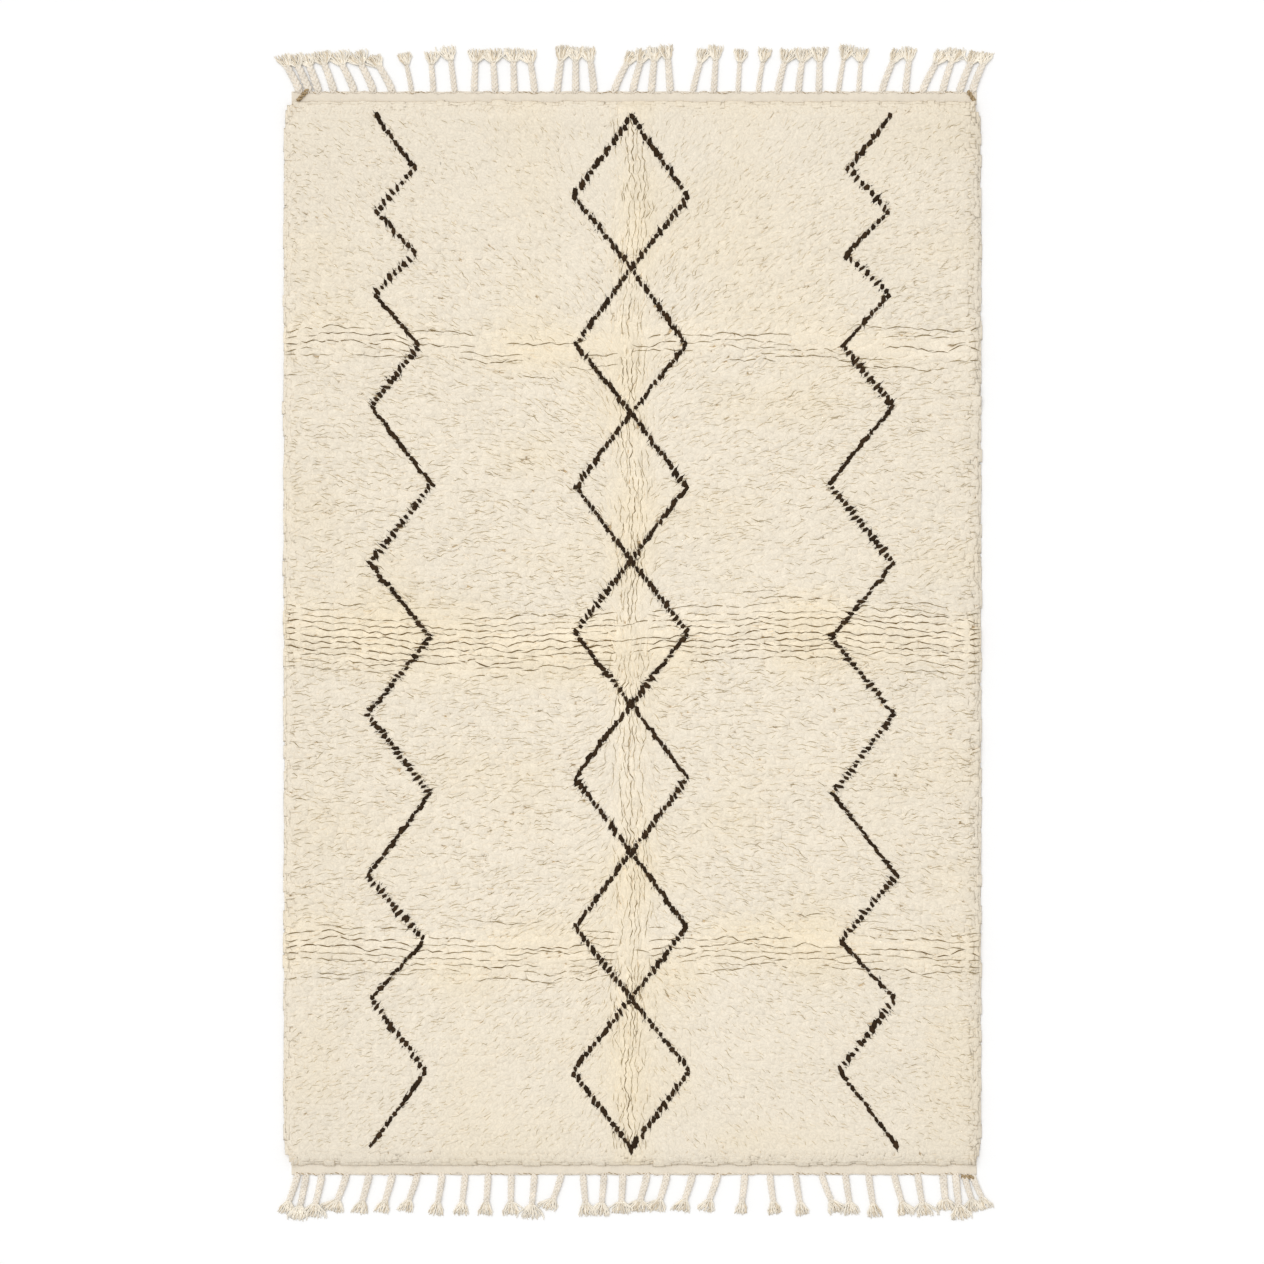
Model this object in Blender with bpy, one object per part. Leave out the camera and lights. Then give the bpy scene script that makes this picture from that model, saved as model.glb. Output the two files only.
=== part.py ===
"""A hand-knotted wool rug laid flat on the floor: a deep cream pile, a flat-woven band
across each end, and plaited tassels where the warp ends come out of the bands.

Metres, +Z up. +Y runs along the rug, and the origin lies on the floor under the middle
of the whole rug, tassels included.
"""

import math
import random
from collections import namedtuple

import bmesh
import bpy
from mathutils import Vector

# The knotted pile, without the side locks
PILE_LENGTH = 2.4155
PILE_WIDTH = 1.580
PILE_MIDDLE_X = -0.007
PILE_MIDDLE_Y = -0.0037
PILE_HEIGHT = 0.022
LUMP_HEIGHT = 0.0022
CORNER_INSET = 0.012
CORNER_LENGTH = 0.070

# Where the pile falls away at its four edges
RIM_HEIGHT = 0.012
RIM_ROUNDING = 0.038
RIM_STEPS = (0.010, 0.026)

# Faces across and along the pile's surface; each row ends in a lock at both sides
COLUMNS = 30
ROWS = 104

# The locks that splay over the long sides: their reach, and their flattened tips
LOCK_REACH = 0.010
LOCK_REACH_SPREAD = 0.003
LOCK_SWAY = 0.003
LOCK_TIP_WIDTH = 0.009
LOCK_TIP_HEIGHT = 0.0045
LOCK_TIP_SLANT = 0.0014

# The flat-woven bands and the plaited tassels
GAP = 0.0003
BAND_LENGTH = 1.566
BAND_MIDDLE_X = -0.003
BAND_DEPTH = 0.030
BAND_THICKNESS = 0.004
TUFT_SPACING = 0.0015
TASSEL_LEAN = 1.2
TASSEL_TURN = 0.5
TASSEL_CROWN = 0.8

SEED = 7

# A fold left from storage: the way it runs, where its line lies, how far the pile lifts
# there, how wide the lift is to each side, and how far the line wanders, over what length.
Fold = namedtuple("Fold", "runs place lift half_width wander wander_length")
FOLDS = (
    Fold(runs="across", place=0.654, lift=0.0020, half_width=0.050, wander=0.010, wander_length=0.90),
    Fold(runs="across", place=-0.014, lift=0.0045, half_width=0.075, wander=0.014, wander_length=1.30),
    Fold(runs="across", place=-0.727, lift=0.0030, half_width=0.060, wander=0.010, wander_length=1.05),
    Fold(runs="along", place=-0.010, lift=0.0025, half_width=0.055, wander=0.008, wander_length=0.80),
)

# The waves that make the pile lumpy: their length, the way they run in degrees from +X,
# their share of LUMP_HEIGHT, and their phase.
Wave = namedtuple("Wave", "length turn share phase")
LUMPS = (
    Wave(length=0.310, turn=18, share=0.34, phase=0.4),
    Wave(length=0.205, turn=103, share=0.28, phase=2.1),
    Wave(length=0.137, turn=62, share=0.22, phase=4.0),
    Wave(length=0.098, turn=147, share=0.16, phase=1.3),
)

# Tassels gather in clumps: how many plaits; where the first and the last of them leave
# the band; where their tufts end across the rug; how far those two reach from the band;
# and how wide a plait and a tuft are.
Clump = namedtuple("Clump", "plaits roots tips reaches plait_width tuft_width")
TOP_CLUMPS = (
    Clump(3, (-0.768, -0.725), (-0.814, -0.759), (0.085, 0.088), 0.019, 0.027),
    Clump(2, (-0.690, -0.643), (-0.725, -0.688), (0.094, 0.092), 0.018, 0.034),
    Clump(2, (-0.599, -0.556), (-0.645, -0.604), (0.093, 0.085), 0.018, 0.032),
    Clump(1, (-0.512, -0.512), (-0.531, -0.531), (0.092, 0.092), 0.012, 0.027),
    Clump(2, (-0.462, -0.414), (-0.470, -0.428), (0.094, 0.107), 0.014, 0.024),
    Clump(2, (-0.369, -0.321), (-0.364, -0.328), (0.100, 0.100), 0.016, 0.035),
    Clump(2, (-0.277, -0.231), (-0.281, -0.245), (0.102, 0.097), 0.016, 0.031),
    Clump(3, (-0.179, -0.095), (-0.165, -0.108), (0.108, 0.104), 0.017, 0.029),
    Clump(4, (-0.049, 0.079), (-0.003, 0.071), (0.094, 0.110), 0.017, 0.027),
    Clump(2, (0.131, 0.179), (0.159, 0.186), (0.101, 0.108), 0.015, 0.027),
    Clump(2, (0.234, 0.280), (0.241, 0.298), (0.100, 0.102), 0.012, 0.027),
    Clump(3, (0.325, 0.419), (0.350, 0.422), (0.100, 0.104), 0.016, 0.032),
    Clump(2, (0.464, 0.510), (0.483, 0.518), (0.110, 0.102), 0.012, 0.026),
    Clump(2, (0.563, 0.617), (0.603, 0.630), (0.101, 0.104), 0.016, 0.030),
    Clump(2, (0.656, 0.702), (0.706, 0.735), (0.096, 0.102), 0.017, 0.031),
    Clump(2, (0.741, 0.770), (0.781, 0.808), (0.096, 0.093), 0.018, 0.030),
)
BOTTOM_CLUMPS = (
    Clump(2, (-0.773, -0.753), (-0.805, -0.775), (0.092, 0.106), 0.0165, 0.031),
    Clump(2, (-0.717, -0.661), (-0.741, -0.695), (0.100, 0.087), 0.017, 0.039),
    Clump(2, (-0.609, -0.556), (-0.635, -0.583), (0.091, 0.089), 0.017, 0.031),
    Clump(1, (-0.499, -0.499), (-0.530, -0.530), (0.086, 0.086), 0.016, 0.030),
    Clump(4, (-0.442, -0.284), (-0.458, -0.286), (0.095, 0.094), 0.016, 0.029),
    Clump(2, (-0.231, -0.170), (-0.241, -0.199), (0.103, 0.083), 0.016, 0.030),
    Clump(2, (-0.120, -0.072), (-0.111, -0.081), (0.096, 0.096), 0.016, 0.031),
    Clump(2, (-0.029, 0.026), (-0.034, 0.001), (0.092, 0.087), 0.017, 0.032),
    Clump(3, (0.072, 0.188), (0.045, 0.156), (0.086, 0.086), 0.017, 0.035),
    Clump(1, (0.250, 0.250), (0.239, 0.239), (0.092, 0.092), 0.017, 0.025),
    Clump(2, (0.307, 0.366), (0.320, 0.382), (0.092, 0.095), 0.016, 0.027),
    Clump(2, (0.426, 0.480), (0.462, 0.495), (0.090, 0.094), 0.016, 0.032),
    Clump(1, (0.533, 0.533), (0.549, 0.549), (0.100, 0.100), 0.016, 0.030),
    Clump(2, (0.592, 0.645), (0.620, 0.662), (0.095, 0.097), 0.016, 0.031),
    Clump(2, (0.703, 0.732), (0.711, 0.743), (0.084, 0.105), 0.018, 0.032),
    Clump(2, (0.752, 0.770), (0.779, 0.807), (0.086, 0.080), 0.0155, 0.030),
)

# A tassel from its root out: the share of its reach, whether it is still the plait or
# already the loose tuft, its width as a share of that part's, and its thickness.
Section = namedtuple("Section", "at part width thickness")
TASSEL = (
    Section(at=0.07, part="plait", width=1.10, thickness=0.0085),
    Section(at=0.34, part="plait", width=1.00, thickness=0.0090),
    Section(at=0.62, part="plait", width=0.95, thickness=0.0085),
    Section(at=0.70, part="plait", width=1.00, thickness=0.0085),
    Section(at=0.78, part="tuft", width=0.78, thickness=0.0090),
    Section(at=0.87, part="tuft", width=1.00, thickness=0.0075),
    Section(at=1.00, part="tuft", width=0.92, thickness=0.0030),
)

CREAM_PILE = (234, 223, 203)
CREAM_WEAVE = (231, 220, 200)
ON_FLOOR = 1e-4

Tassel = namedtuple("Tassel", "root tip reach plait_width tuft_width")


def clear_scene():
    for thing in list(bpy.data.objects):
        bpy.data.objects.remove(thing, do_unlink=True)


def linear(channel):
    """A channel of a screen colour, from 0 to 255, as the shader wants it."""
    value = channel / 255
    return value / 12.92 if value <= 0.04045 else ((value + 0.055) / 1.055) ** 2.4


def wool(name, colour, roughness):
    material = bpy.data.materials.new(name)
    material.use_nodes = True
    shader = material.node_tree.nodes["Principled BSDF"]
    shader.inputs["Base Color"].default_value = (*map(linear, colour), 1)
    shader.inputs["Roughness"].default_value = roughness
    shader.inputs["Metallic"].default_value = 0
    return material


def finish_object(name, bm, material):
    """Turns the closed bmesh into one named object with its faces pointing out."""
    bmesh.ops.recalc_face_normals(bm, faces=bm.faces)
    mesh = bpy.data.meshes.new(name)
    bm.to_mesh(mesh)
    bm.free()
    mesh.materials.append(material)
    bpy.context.scene.collection.objects.link(bpy.data.objects.new(name, mesh))


def new_verts(made):
    """The vertices among what an operator made."""
    return [item for item in made["geom"] if isinstance(item, bmesh.types.BMVert)]


# The pile


def fold_lift(x, y):
    """How far the storage folds raise the pile at a point."""
    lift = 0.0
    for fold in FOLDS:
        along, across = (x, y) if fold.runs == "across" else (y, x)
        line = fold.place + fold.wander * math.sin(math.tau * along / fold.wander_length)
        away = abs(across - line) / fold.half_width
        if away < 1:
            lift = max(lift, fold.lift * (0.5 + 0.5 * math.cos(math.pi * away)))
    return lift


def lump_height(x, y):
    """The unevenness of the pile at a point, up to LUMP_HEIGHT either way."""
    height = 0.0
    for wave in LUMPS:
        turn = math.radians(wave.turn)
        along = x * math.cos(turn) + y * math.sin(turn)
        height += wave.share * math.sin(math.tau * along / wave.length + wave.phase)
    return LUMP_HEIGHT * height


def pile_height(x, y, from_side, from_end):
    """The top of the pile, which rounds down over its four edges."""
    height = PILE_HEIGHT + lump_height(x, y) + fold_lift(x, y)
    for away in (from_side, from_end):
        if away < RIM_ROUNDING:
            rise = math.sqrt(1 - (1 - away / RIM_ROUNDING) ** 2)
            height = RIM_HEIGHT + (height - RIM_HEIGHT) * rise
    return height


def even_places(first, last, count):
    """Evenly spaced places, or the middle where there is only one."""
    if count == 1:
        return [(first + last) / 2]
    return [first + (last - first) * i / (count - 1) for i in range(count)]


def rimmed_places(size, faces):
    """Places from -size/2 to size/2 for that many faces, closer together at the rim."""
    edge = [size / 2 - step for step in (*reversed(RIM_STEPS), 0)]
    inner = even_places(-edge[0], edge[0], faces - 2 * len(RIM_STEPS) + 1)
    return [-place for place in reversed(edge)] + inner[1:-1] + edge


def side_inset(from_end):
    """How far the long sides draw in as they near an end band."""
    away = min(from_end / CORNER_LENGTH, 1)
    return CORNER_INSET * (1 - away) ** 2


def pile_surface(bm):
    """The lumpy top of the pile, shaped from a flat grid."""
    bmesh.ops.create_grid(bm, x_segments=COLUMNS, y_segments=ROWS, size=1)
    columns = rimmed_places(PILE_WIDTH, COLUMNS)
    rows = rimmed_places(PILE_LENGTH, ROWS)
    for vert in bm.verts:
        x = columns[round((vert.co.x + 1) / 2 * COLUMNS)]
        y = rows[round((vert.co.y + 1) / 2 * ROWS)]
        from_side = PILE_WIDTH / 2 - abs(x)
        from_end = PILE_LENGTH / 2 - abs(y)
        x = PILE_MIDDLE_X + x * (1 - side_inset(from_end) * 2 / PILE_WIDTH)
        y = PILE_MIDDLE_Y + y
        vert.co = (x, y, pile_height(x, y, from_side, from_end))


def drop_walls(bm):
    """Walls from the edge of the surface down to the floor. Returns their floor vertices."""
    edges = [edge for edge in bm.edges if edge.is_boundary]
    floor = new_verts(bmesh.ops.extrude_edge_only(bm, edges=edges))
    for vert in floor:
        vert.co.z = 0
    return floor


def on_long_side(vert):
    """Whether a floor vertex lies on a long side, corners included."""
    from_end = PILE_LENGTH / 2 - abs(vert.co.y - PILE_MIDDLE_Y)
    half = PILE_WIDTH / 2 - side_inset(from_end)
    return abs(abs(vert.co.x - PILE_MIDDLE_X) - half) < ON_FLOOR


def close_underside(bm, floor):
    """A flat underside: one face from side to side for each row."""
    bmesh.ops.dissolve_verts(bm, verts=[vert for vert in floor if not on_long_side(vert)])
    sides = []
    for edge in bm.edges:
        run = abs(edge.verts[0].co.y - edge.verts[1].co.y)
        if edge.is_boundary and run > ON_FLOOR:
            sides.append(edge)
    bmesh.ops.bridge_loops(bm, edges=sides)
    bmesh.ops.recalc_face_normals(bm, faces=bm.faces)


def splay_locks(bm, rng):
    """Draws the side wall of every row out into a lock whose tip lies on the floor."""
    walls = [
        face for face in bm.faces
        if abs(face.normal.x) > 0.7 and min(vert.co.z for vert in face.verts) < ON_FLOOR
    ]
    walls.sort(key=lambda face: tuple(face.calc_center_median()))
    for face in bmesh.ops.extrude_discrete_faces(bm, faces=walls)["faces"]:
        middle = face.calc_center_median()
        out = math.copysign(1, middle.x - PILE_MIDDLE_X)
        ends = [vert.co.y for vert in face.verts]
        root_width = max(ends) - min(ends)
        half_tip = min(LOCK_TIP_WIDTH, root_width / 2) / 2
        reach = LOCK_REACH + rng.uniform(-1, 1) * LOCK_REACH_SPREAD
        sway = rng.uniform(-1, 1) * min(LOCK_SWAY, root_width / 6)
        for vert in face.verts:
            top = vert.co.z > middle.z
            vert.co = (
                middle.x + out * (reach - (LOCK_TIP_SLANT if top else 0)),
                middle.y + sway + math.copysign(half_tip, vert.co.y - middle.y),
                LOCK_TIP_HEIGHT if top else 0,
            )


def make_pile_field():
    """The knotted pile on its woven ground: one lumpy slab with a flat underside."""
    bm = bmesh.new()
    pile_surface(bm)
    close_underside(bm, drop_walls(bm))
    splay_locks(bm, random.Random(SEED))
    finish_object("pile_field", bm, wool("cream pile", CREAM_PILE, roughness=0.95))


# The end bands and their tassels


def tassels_of(clumps):
    """Every tassel of a band, from left to right. Tufts keep clear of their neighbours."""
    tassels = []
    for clump in clumps:
        roots = even_places(*clump.roots, clump.plaits)
        tips = even_places(*clump.tips, clump.plaits)
        reaches = even_places(*clump.reaches, clump.plaits)
        for root, tip, reach in zip(roots, tips, reaches):
            tassels.append(Tassel(root, tip, reach, clump.plait_width, clump.tuft_width))
    for i, tassel in enumerate(tassels):
        neighbours = tassels[max(i - 1, 0):i] + tassels[i + 1:i + 2]
        room = min(abs(other.tip - tassel.tip) for other in neighbours) - TUFT_SPACING
        tassels[i] = tassel._replace(tuft_width=min(tassel.tuft_width, room))
    return tassels


def band_strip(bm, tassels, low, high):
    """The woven strip from low to high, cut where the tassels come out of it."""
    cuts = [BAND_MIDDLE_X - BAND_LENGTH / 2]
    for tassel in tassels:
        cuts += [tassel.root - tassel.plait_width / 2, tassel.root + tassel.plait_width / 2]
    cuts.append(BAND_MIDDLE_X + BAND_LENGTH / 2)
    segments = len(cuts) - 1
    bmesh.ops.create_grid(bm, x_segments=segments, y_segments=1, size=1)
    for vert in bm.verts:
        column = round((vert.co.x + 1) / 2 * segments)
        vert.co = (cuts[column], low if vert.co.y < 0 else high, 0)
    top = new_verts(bmesh.ops.extrude_face_region(bm, geom=bm.faces[:]))
    bmesh.ops.translate(bm, verts=top, vec=(0, 0, BAND_THICKNESS))
    bmesh.ops.recalc_face_normals(bm, faces=bm.faces)


def outer_wall(bm, side):
    """The faces of the strip's outer edge, from left to right."""
    wall = [face for face in bm.faces if face.normal.y * side > 0.9]
    return sorted(wall, key=lambda face: face.calc_center_median().x)


def grow_tassel(bm, face, tassel, outer, side):
    """Extrudes a plait and its tuft from a face of the band's edge, flat on the floor."""
    part_widths = {"plait": tassel.plait_width, "tuft": tassel.tuft_width}
    lean = tassel.tip - tassel.root
    for section in TASSEL:
        face = bmesh.ops.extrude_discrete_faces(bm, faces=[face])["faces"][0]
        middle = face.calc_center_median()
        centre = Vector((
            tassel.root + lean * section.at ** TASSEL_LEAN,
            outer + side * tassel.reach * section.at,
        ))
        slope = TASSEL_LEAN * lean * section.at ** (TASSEL_LEAN - 1) / tassel.reach
        across = Vector((1, -slope * side * TASSEL_TURN)).normalized()
        half_width = part_widths[section.part] * section.width / 2
        for vert in face.verts:
            top = vert.co.z > middle.z
            step = math.copysign(half_width, vert.co.x - middle.x)
            place = centre + across * step * (TASSEL_CROWN if top else 1)
            vert.co = (place.x, place.y, section.thickness if top else 0)


def make_end_band(name, clumps, side):
    """A flat-woven end band with its tassels, at the top end (side 1) or the bottom (-1)."""
    inner = PILE_MIDDLE_Y + side * (PILE_LENGTH / 2 + GAP)
    outer = inner + side * BAND_DEPTH
    tassels = tassels_of(clumps)
    bm = bmesh.new()
    band_strip(bm, tassels, *sorted((inner, outer)))
    roots = outer_wall(bm, side)[1::2]
    for root_face, tassel in zip(roots, tassels):
        grow_tassel(bm, root_face, tassel, outer, side)
    finish_object(name, bm, wool(f"{name} weave", CREAM_WEAVE, roughness=0.9))


clear_scene()
make_pile_field()
make_end_band("end_band_top", TOP_CLUMPS, side=1)
make_end_band("end_band_bottom", BOTTOM_CLUMPS, side=-1)
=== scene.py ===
# %% [markdown]
# # A hand-knotted wool rug with plaited tassels
#
# This rug was knotted by hand on a wool warp. It has three kinds of surface:
#
# - the **pile**: about 33,000 knots, each a short tuft of undyed wool that stands up from
#   the ground weave, with lines of dark brown knots for the zigzags and diamonds;
# - a flat-woven **band** across each end;
# - the **tassels**: the warp ends, plaited, bound and left to fan out.
#
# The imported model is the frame. It says how large each part is and where it lies, and the
# pieces made here take the place of its plain solids.

# %% The frame
import math
import random
from collections import namedtuple

import bmesh
import bpy
import numpy as np
from mathutils import Matrix, Vector
from mathutils.bvhtree import BVHTree


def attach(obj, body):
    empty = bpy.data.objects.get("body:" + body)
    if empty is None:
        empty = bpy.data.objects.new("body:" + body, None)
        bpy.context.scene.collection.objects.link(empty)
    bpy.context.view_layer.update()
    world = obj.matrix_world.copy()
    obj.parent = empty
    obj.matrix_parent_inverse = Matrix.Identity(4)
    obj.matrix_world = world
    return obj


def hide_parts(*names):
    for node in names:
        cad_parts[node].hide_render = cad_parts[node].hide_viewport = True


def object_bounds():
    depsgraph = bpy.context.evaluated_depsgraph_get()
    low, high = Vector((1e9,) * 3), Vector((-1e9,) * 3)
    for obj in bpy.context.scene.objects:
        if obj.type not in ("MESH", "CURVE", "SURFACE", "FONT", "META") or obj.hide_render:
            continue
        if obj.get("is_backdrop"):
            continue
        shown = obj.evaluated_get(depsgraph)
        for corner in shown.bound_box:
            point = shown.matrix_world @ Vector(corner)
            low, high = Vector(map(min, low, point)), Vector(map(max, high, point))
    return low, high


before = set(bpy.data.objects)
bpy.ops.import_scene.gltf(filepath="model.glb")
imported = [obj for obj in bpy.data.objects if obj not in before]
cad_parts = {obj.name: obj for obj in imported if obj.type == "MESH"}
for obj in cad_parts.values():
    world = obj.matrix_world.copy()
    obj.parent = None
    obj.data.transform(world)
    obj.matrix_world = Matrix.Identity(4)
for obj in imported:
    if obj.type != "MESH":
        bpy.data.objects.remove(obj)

CAD_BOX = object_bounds()

scene = bpy.context.scene
print("nodes:", sorted(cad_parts))

# %% [markdown]
# ## Camera, light and floor
#
# The picture looks straight down on the rug, from so high up that the tassels on the floor
# and the pile above them keep their true places. The camera still has perspective, because
# a real one has, so the sides of the rug show a trace of their outward lean.

# %% The camera
VIEW_WIDTH = 2.885
VIEW_HEIGHT = 10.0
VIEW_CENTRE = (-0.008, -0.001)
PILE_LEVEL = 0.018
SENSOR = 36

camera_data = bpy.data.cameras.new("view")
camera_data.sensor_width = SENSOR
camera_data.lens = SENSOR * (VIEW_HEIGHT - PILE_LEVEL) / VIEW_WIDTH
camera = bpy.data.objects.new("view", camera_data)
camera.location = (*VIEW_CENTRE, VIEW_HEIGHT)
scene.collection.objects.link(camera)
scene.camera = camera
scene.view_settings.view_transform = "Standard"
print(f"lens {camera_data.lens:.1f} mm at {VIEW_HEIGHT} m")

# %% [markdown]
# The light is a pale sky from all round, which darkens the clefts between tufts, and one
# very soft sun from the upper left that gives the wool its relief. A sun lights both ends
# of the rug alike, as the big soft boxes of a photo studio do.

# %% The light
SKY_STRENGTH = 0.66
SUN_STRENGTH = 1.38
SUN_SPREAD = math.radians(55)
SUN_FROM = (-0.40, 0.52, 1.45)

sky = bpy.data.worlds.new("sky")
sky.use_nodes = True
sky.node_tree.nodes["Background"].inputs["Color"].default_value = (1, 1, 1, 1)
sky.node_tree.nodes["Background"].inputs["Strength"].default_value = SKY_STRENGTH
scene.world = sky

sun_data = bpy.data.lights.new("sun", "SUN")
sun_data.energy = SUN_STRENGTH
sun_data.angle = SUN_SPREAD
sun = bpy.data.objects.new("sun", sun_data)
sun.rotation_euler = Vector(SUN_FROM).to_track_quat("Z", "Y").to_euler()
scene.collection.objects.link(sun)
print(f"sky {SKY_STRENGTH}, sun {SUN_STRENGTH} and {math.degrees(SUN_SPREAD):.0f} degrees wide")


# %% [markdown]
# ## Small helpers
#
# A bmesh holds the shape while it is worked on. `keep` turns it into an object, and
# `declare` says what the object stands for.

# %% Helpers
def keep(name, bm, material):
    """Makes an object of the bmesh, at the origin, with its place in its mesh."""
    mesh = bpy.data.meshes.new(name)
    bm.to_mesh(mesh)
    bm.free()
    mesh.materials.append(material)
    made = bpy.data.objects.new(name, mesh)
    scene.collection.objects.link(made)
    return made


def declare(piece, node):
    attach(piece, "root")
    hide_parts(node)
    return piece


def triangles(piece):
    return sum(len(face.vertices) - 2 for face in piece.data.polygons)


def new_verts(made):
    return [item for item in made["geom"] if isinstance(item, bmesh.types.BMVert)]


def linear(channel):
    """A screen colour's channel, 0 to 255, as shaders take it."""
    value = channel / 255
    return value / 12.92 if value <= 0.04045 else ((value + 0.055) / 1.055) ** 2.4


def colour(red, green, blue):
    return (linear(red), linear(green), linear(blue), 1)


# %% [markdown]
# ## The wool
#
# All of the rug is wool, so its materials share two effects, each a node group:
#
# - **fibres**: fine streaks along the yarn. The piece's UV map runs round the yarn in U and
#   along it in V, so a noise stretched along V gives streaks that follow every tuft.
# - **wool tone**: hand-spun wool is never one colour. Each tuft has its own shade, the wool
#   is deeper and yellower towards its root, and along the storage folds it has aged a
#   little yellower all the way up, which is what `Warm` mixes in. On the painted crease
#   strands `Warm` mixes in the brown of their painted shade instead, and `Shade` carries
#   painted light and shade as well as each tuft's own tone.
#
# A group hands out only colours and heights. The shader itself stays in the material. Two
# helpers keep the node trees short: one starts a group, the other adds a node and fills its
# inputs.

# %% A group of shader nodes
def new_group(name, inputs, outputs):
    """An empty shader node group with the named sockets: (name, kind, starting value)."""
    group = bpy.data.node_groups.new(name, "ShaderNodeTree")
    for label, kind, value in inputs:
        socket = group.interface.new_socket(label, in_out="INPUT", socket_type=kind)
        if value is not None:
            socket.default_value = value
    for label, kind in outputs:
        group.interface.new_socket(label, in_out="OUTPUT", socket_type=kind)
    return group, group.nodes.new("NodeGroupInput"), group.nodes.new("NodeGroupOutput")


def add_node(tree, kind, links=(), **settings):
    """Adds a node, sets its properties, and fills its inputs with values or other sockets."""
    node = tree.nodes.new(kind)
    for label, value in settings.items():
        setattr(node, label, value)
    for socket, value in dict(links).items():
        if isinstance(value, bpy.types.NodeSocket):
            tree.links.new(value, node.inputs[socket])
        else:
            node.inputs[socket].default_value = value
    return node


# %% [markdown]
# The noise of the fibres is stretched by scaling its coordinates: many times across the
# yarn and little along it.

# %% Fibres
def make_fibres():
    group, given, out = new_group(
        "fibres",
        [
            ("Coordinates", "NodeSocketVector", None),
            ("Across", "NodeSocketFloat", 8.0),
            ("Along", "NodeSocketFloat", 1.0),
        ],
        [("Streak", "NodeSocketFloat")],
    )
    scale = add_node(
        group, "ShaderNodeCombineXYZ", {0: given.outputs["Across"], 1: given.outputs["Along"]},
    )
    place = add_node(
        group, "ShaderNodeVectorMath",
        {0: given.outputs["Coordinates"], 1: scale.outputs[0]}, operation="MULTIPLY",
    )
    noise = add_node(
        group, "ShaderNodeTexNoise", {"Vector": place.outputs[0], "Scale": 1.0, "Detail": 3.0},
    )
    group.links.new(noise.outputs["Fac"], out.inputs["Streak"])
    return group


FIBRES = make_fibres()
print("node group:", FIBRES.name)

# %% [markdown]
# The tone is worked out in three steps: mix the root's colour into the tip's by height,
# multiply by the tint of aged wool, and brighten or darken by the shade and the streaks.

# %% The tone of the wool
AGED_TINT = (1.0, 0.955, 0.84, 1)
ROOT_UP_TO = 0.25


def make_wool_tone():
    group, given, out = new_group(
        "wool tone",
        [
            ("Tip", "NodeSocketColor", None),
            ("Root", "NodeSocketColor", None),
            ("Up", "NodeSocketFloat", 1.0),
            ("Shade", "NodeSocketFloat", 0.0),
            ("Aged Tint", "NodeSocketColor", AGED_TINT),
            ("Warm", "NodeSocketFloat", 0.0),
            ("Streak", "NodeSocketFloat", 0.5),
            ("Unevenness", "NodeSocketFloat", 0.1),
        ],
        [("Color", "NodeSocketColor")],
    )
    height = add_node(
        group, "ShaderNodeMapRange",
        {"Value": given.outputs["Up"], "From Min": ROOT_UP_TO, "From Max": 1.0},
    )
    wool = add_node(
        group, "ShaderNodeMix",
        {"Factor": height.outputs[0], 6: given.outputs["Root"], 7: given.outputs["Tip"]},
        data_type="RGBA",
    )
    warm = add_node(
        group, "ShaderNodeMix",
        {"Factor": given.outputs["Warm"], 6: wool.outputs[2], 7: given.outputs["Aged Tint"]},
        data_type="RGBA", blend_type="MULTIPLY",
    )
    streak = add_node(group, "ShaderNodeMath", {0: given.outputs["Streak"], 1: -0.5}, operation="ADD")
    both = add_node(
        group, "ShaderNodeMath", {0: streak.outputs[0], 1: given.outputs["Shade"]}, operation="ADD",
    )
    lift = add_node(
        group, "ShaderNodeMath",
        {0: both.outputs[0], 1: given.outputs["Unevenness"], 2: 1.0}, operation="MULTIPLY_ADD",
    )
    final = add_node(
        group, "ShaderNodeVectorMath", {0: warm.outputs[2], "Scale": lift.outputs[0]}, operation="SCALE",
    )
    group.links.new(final.outputs[0], out.inputs["Color"])
    return group


WOOL_TONE = make_wool_tone()
print("node group:", WOOL_TONE.name)


# %% [markdown]
# A wool material joins both groups to a Principled shader. Wool is matt with a soft sheen
# from its fuzz, so it has high roughness, little specular and some sheen. The piece's own
# attributes carry `up` (0 at a root, 1 at a tip), and `shade` and `warm` (one value for
# each tuft). Yarn, weave and packed wool carry none, so a noise on Object coordinates gives
# them their shade.

# %% A wool material
ROUGHNESS = 0.95
SPECULAR = 0.15
SHEEN = 0.20
SHEEN_ROUGHNESS = 0.6
PATCH_SCALE = 60.0
BUMP_STRENGTH = 0.6


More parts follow.
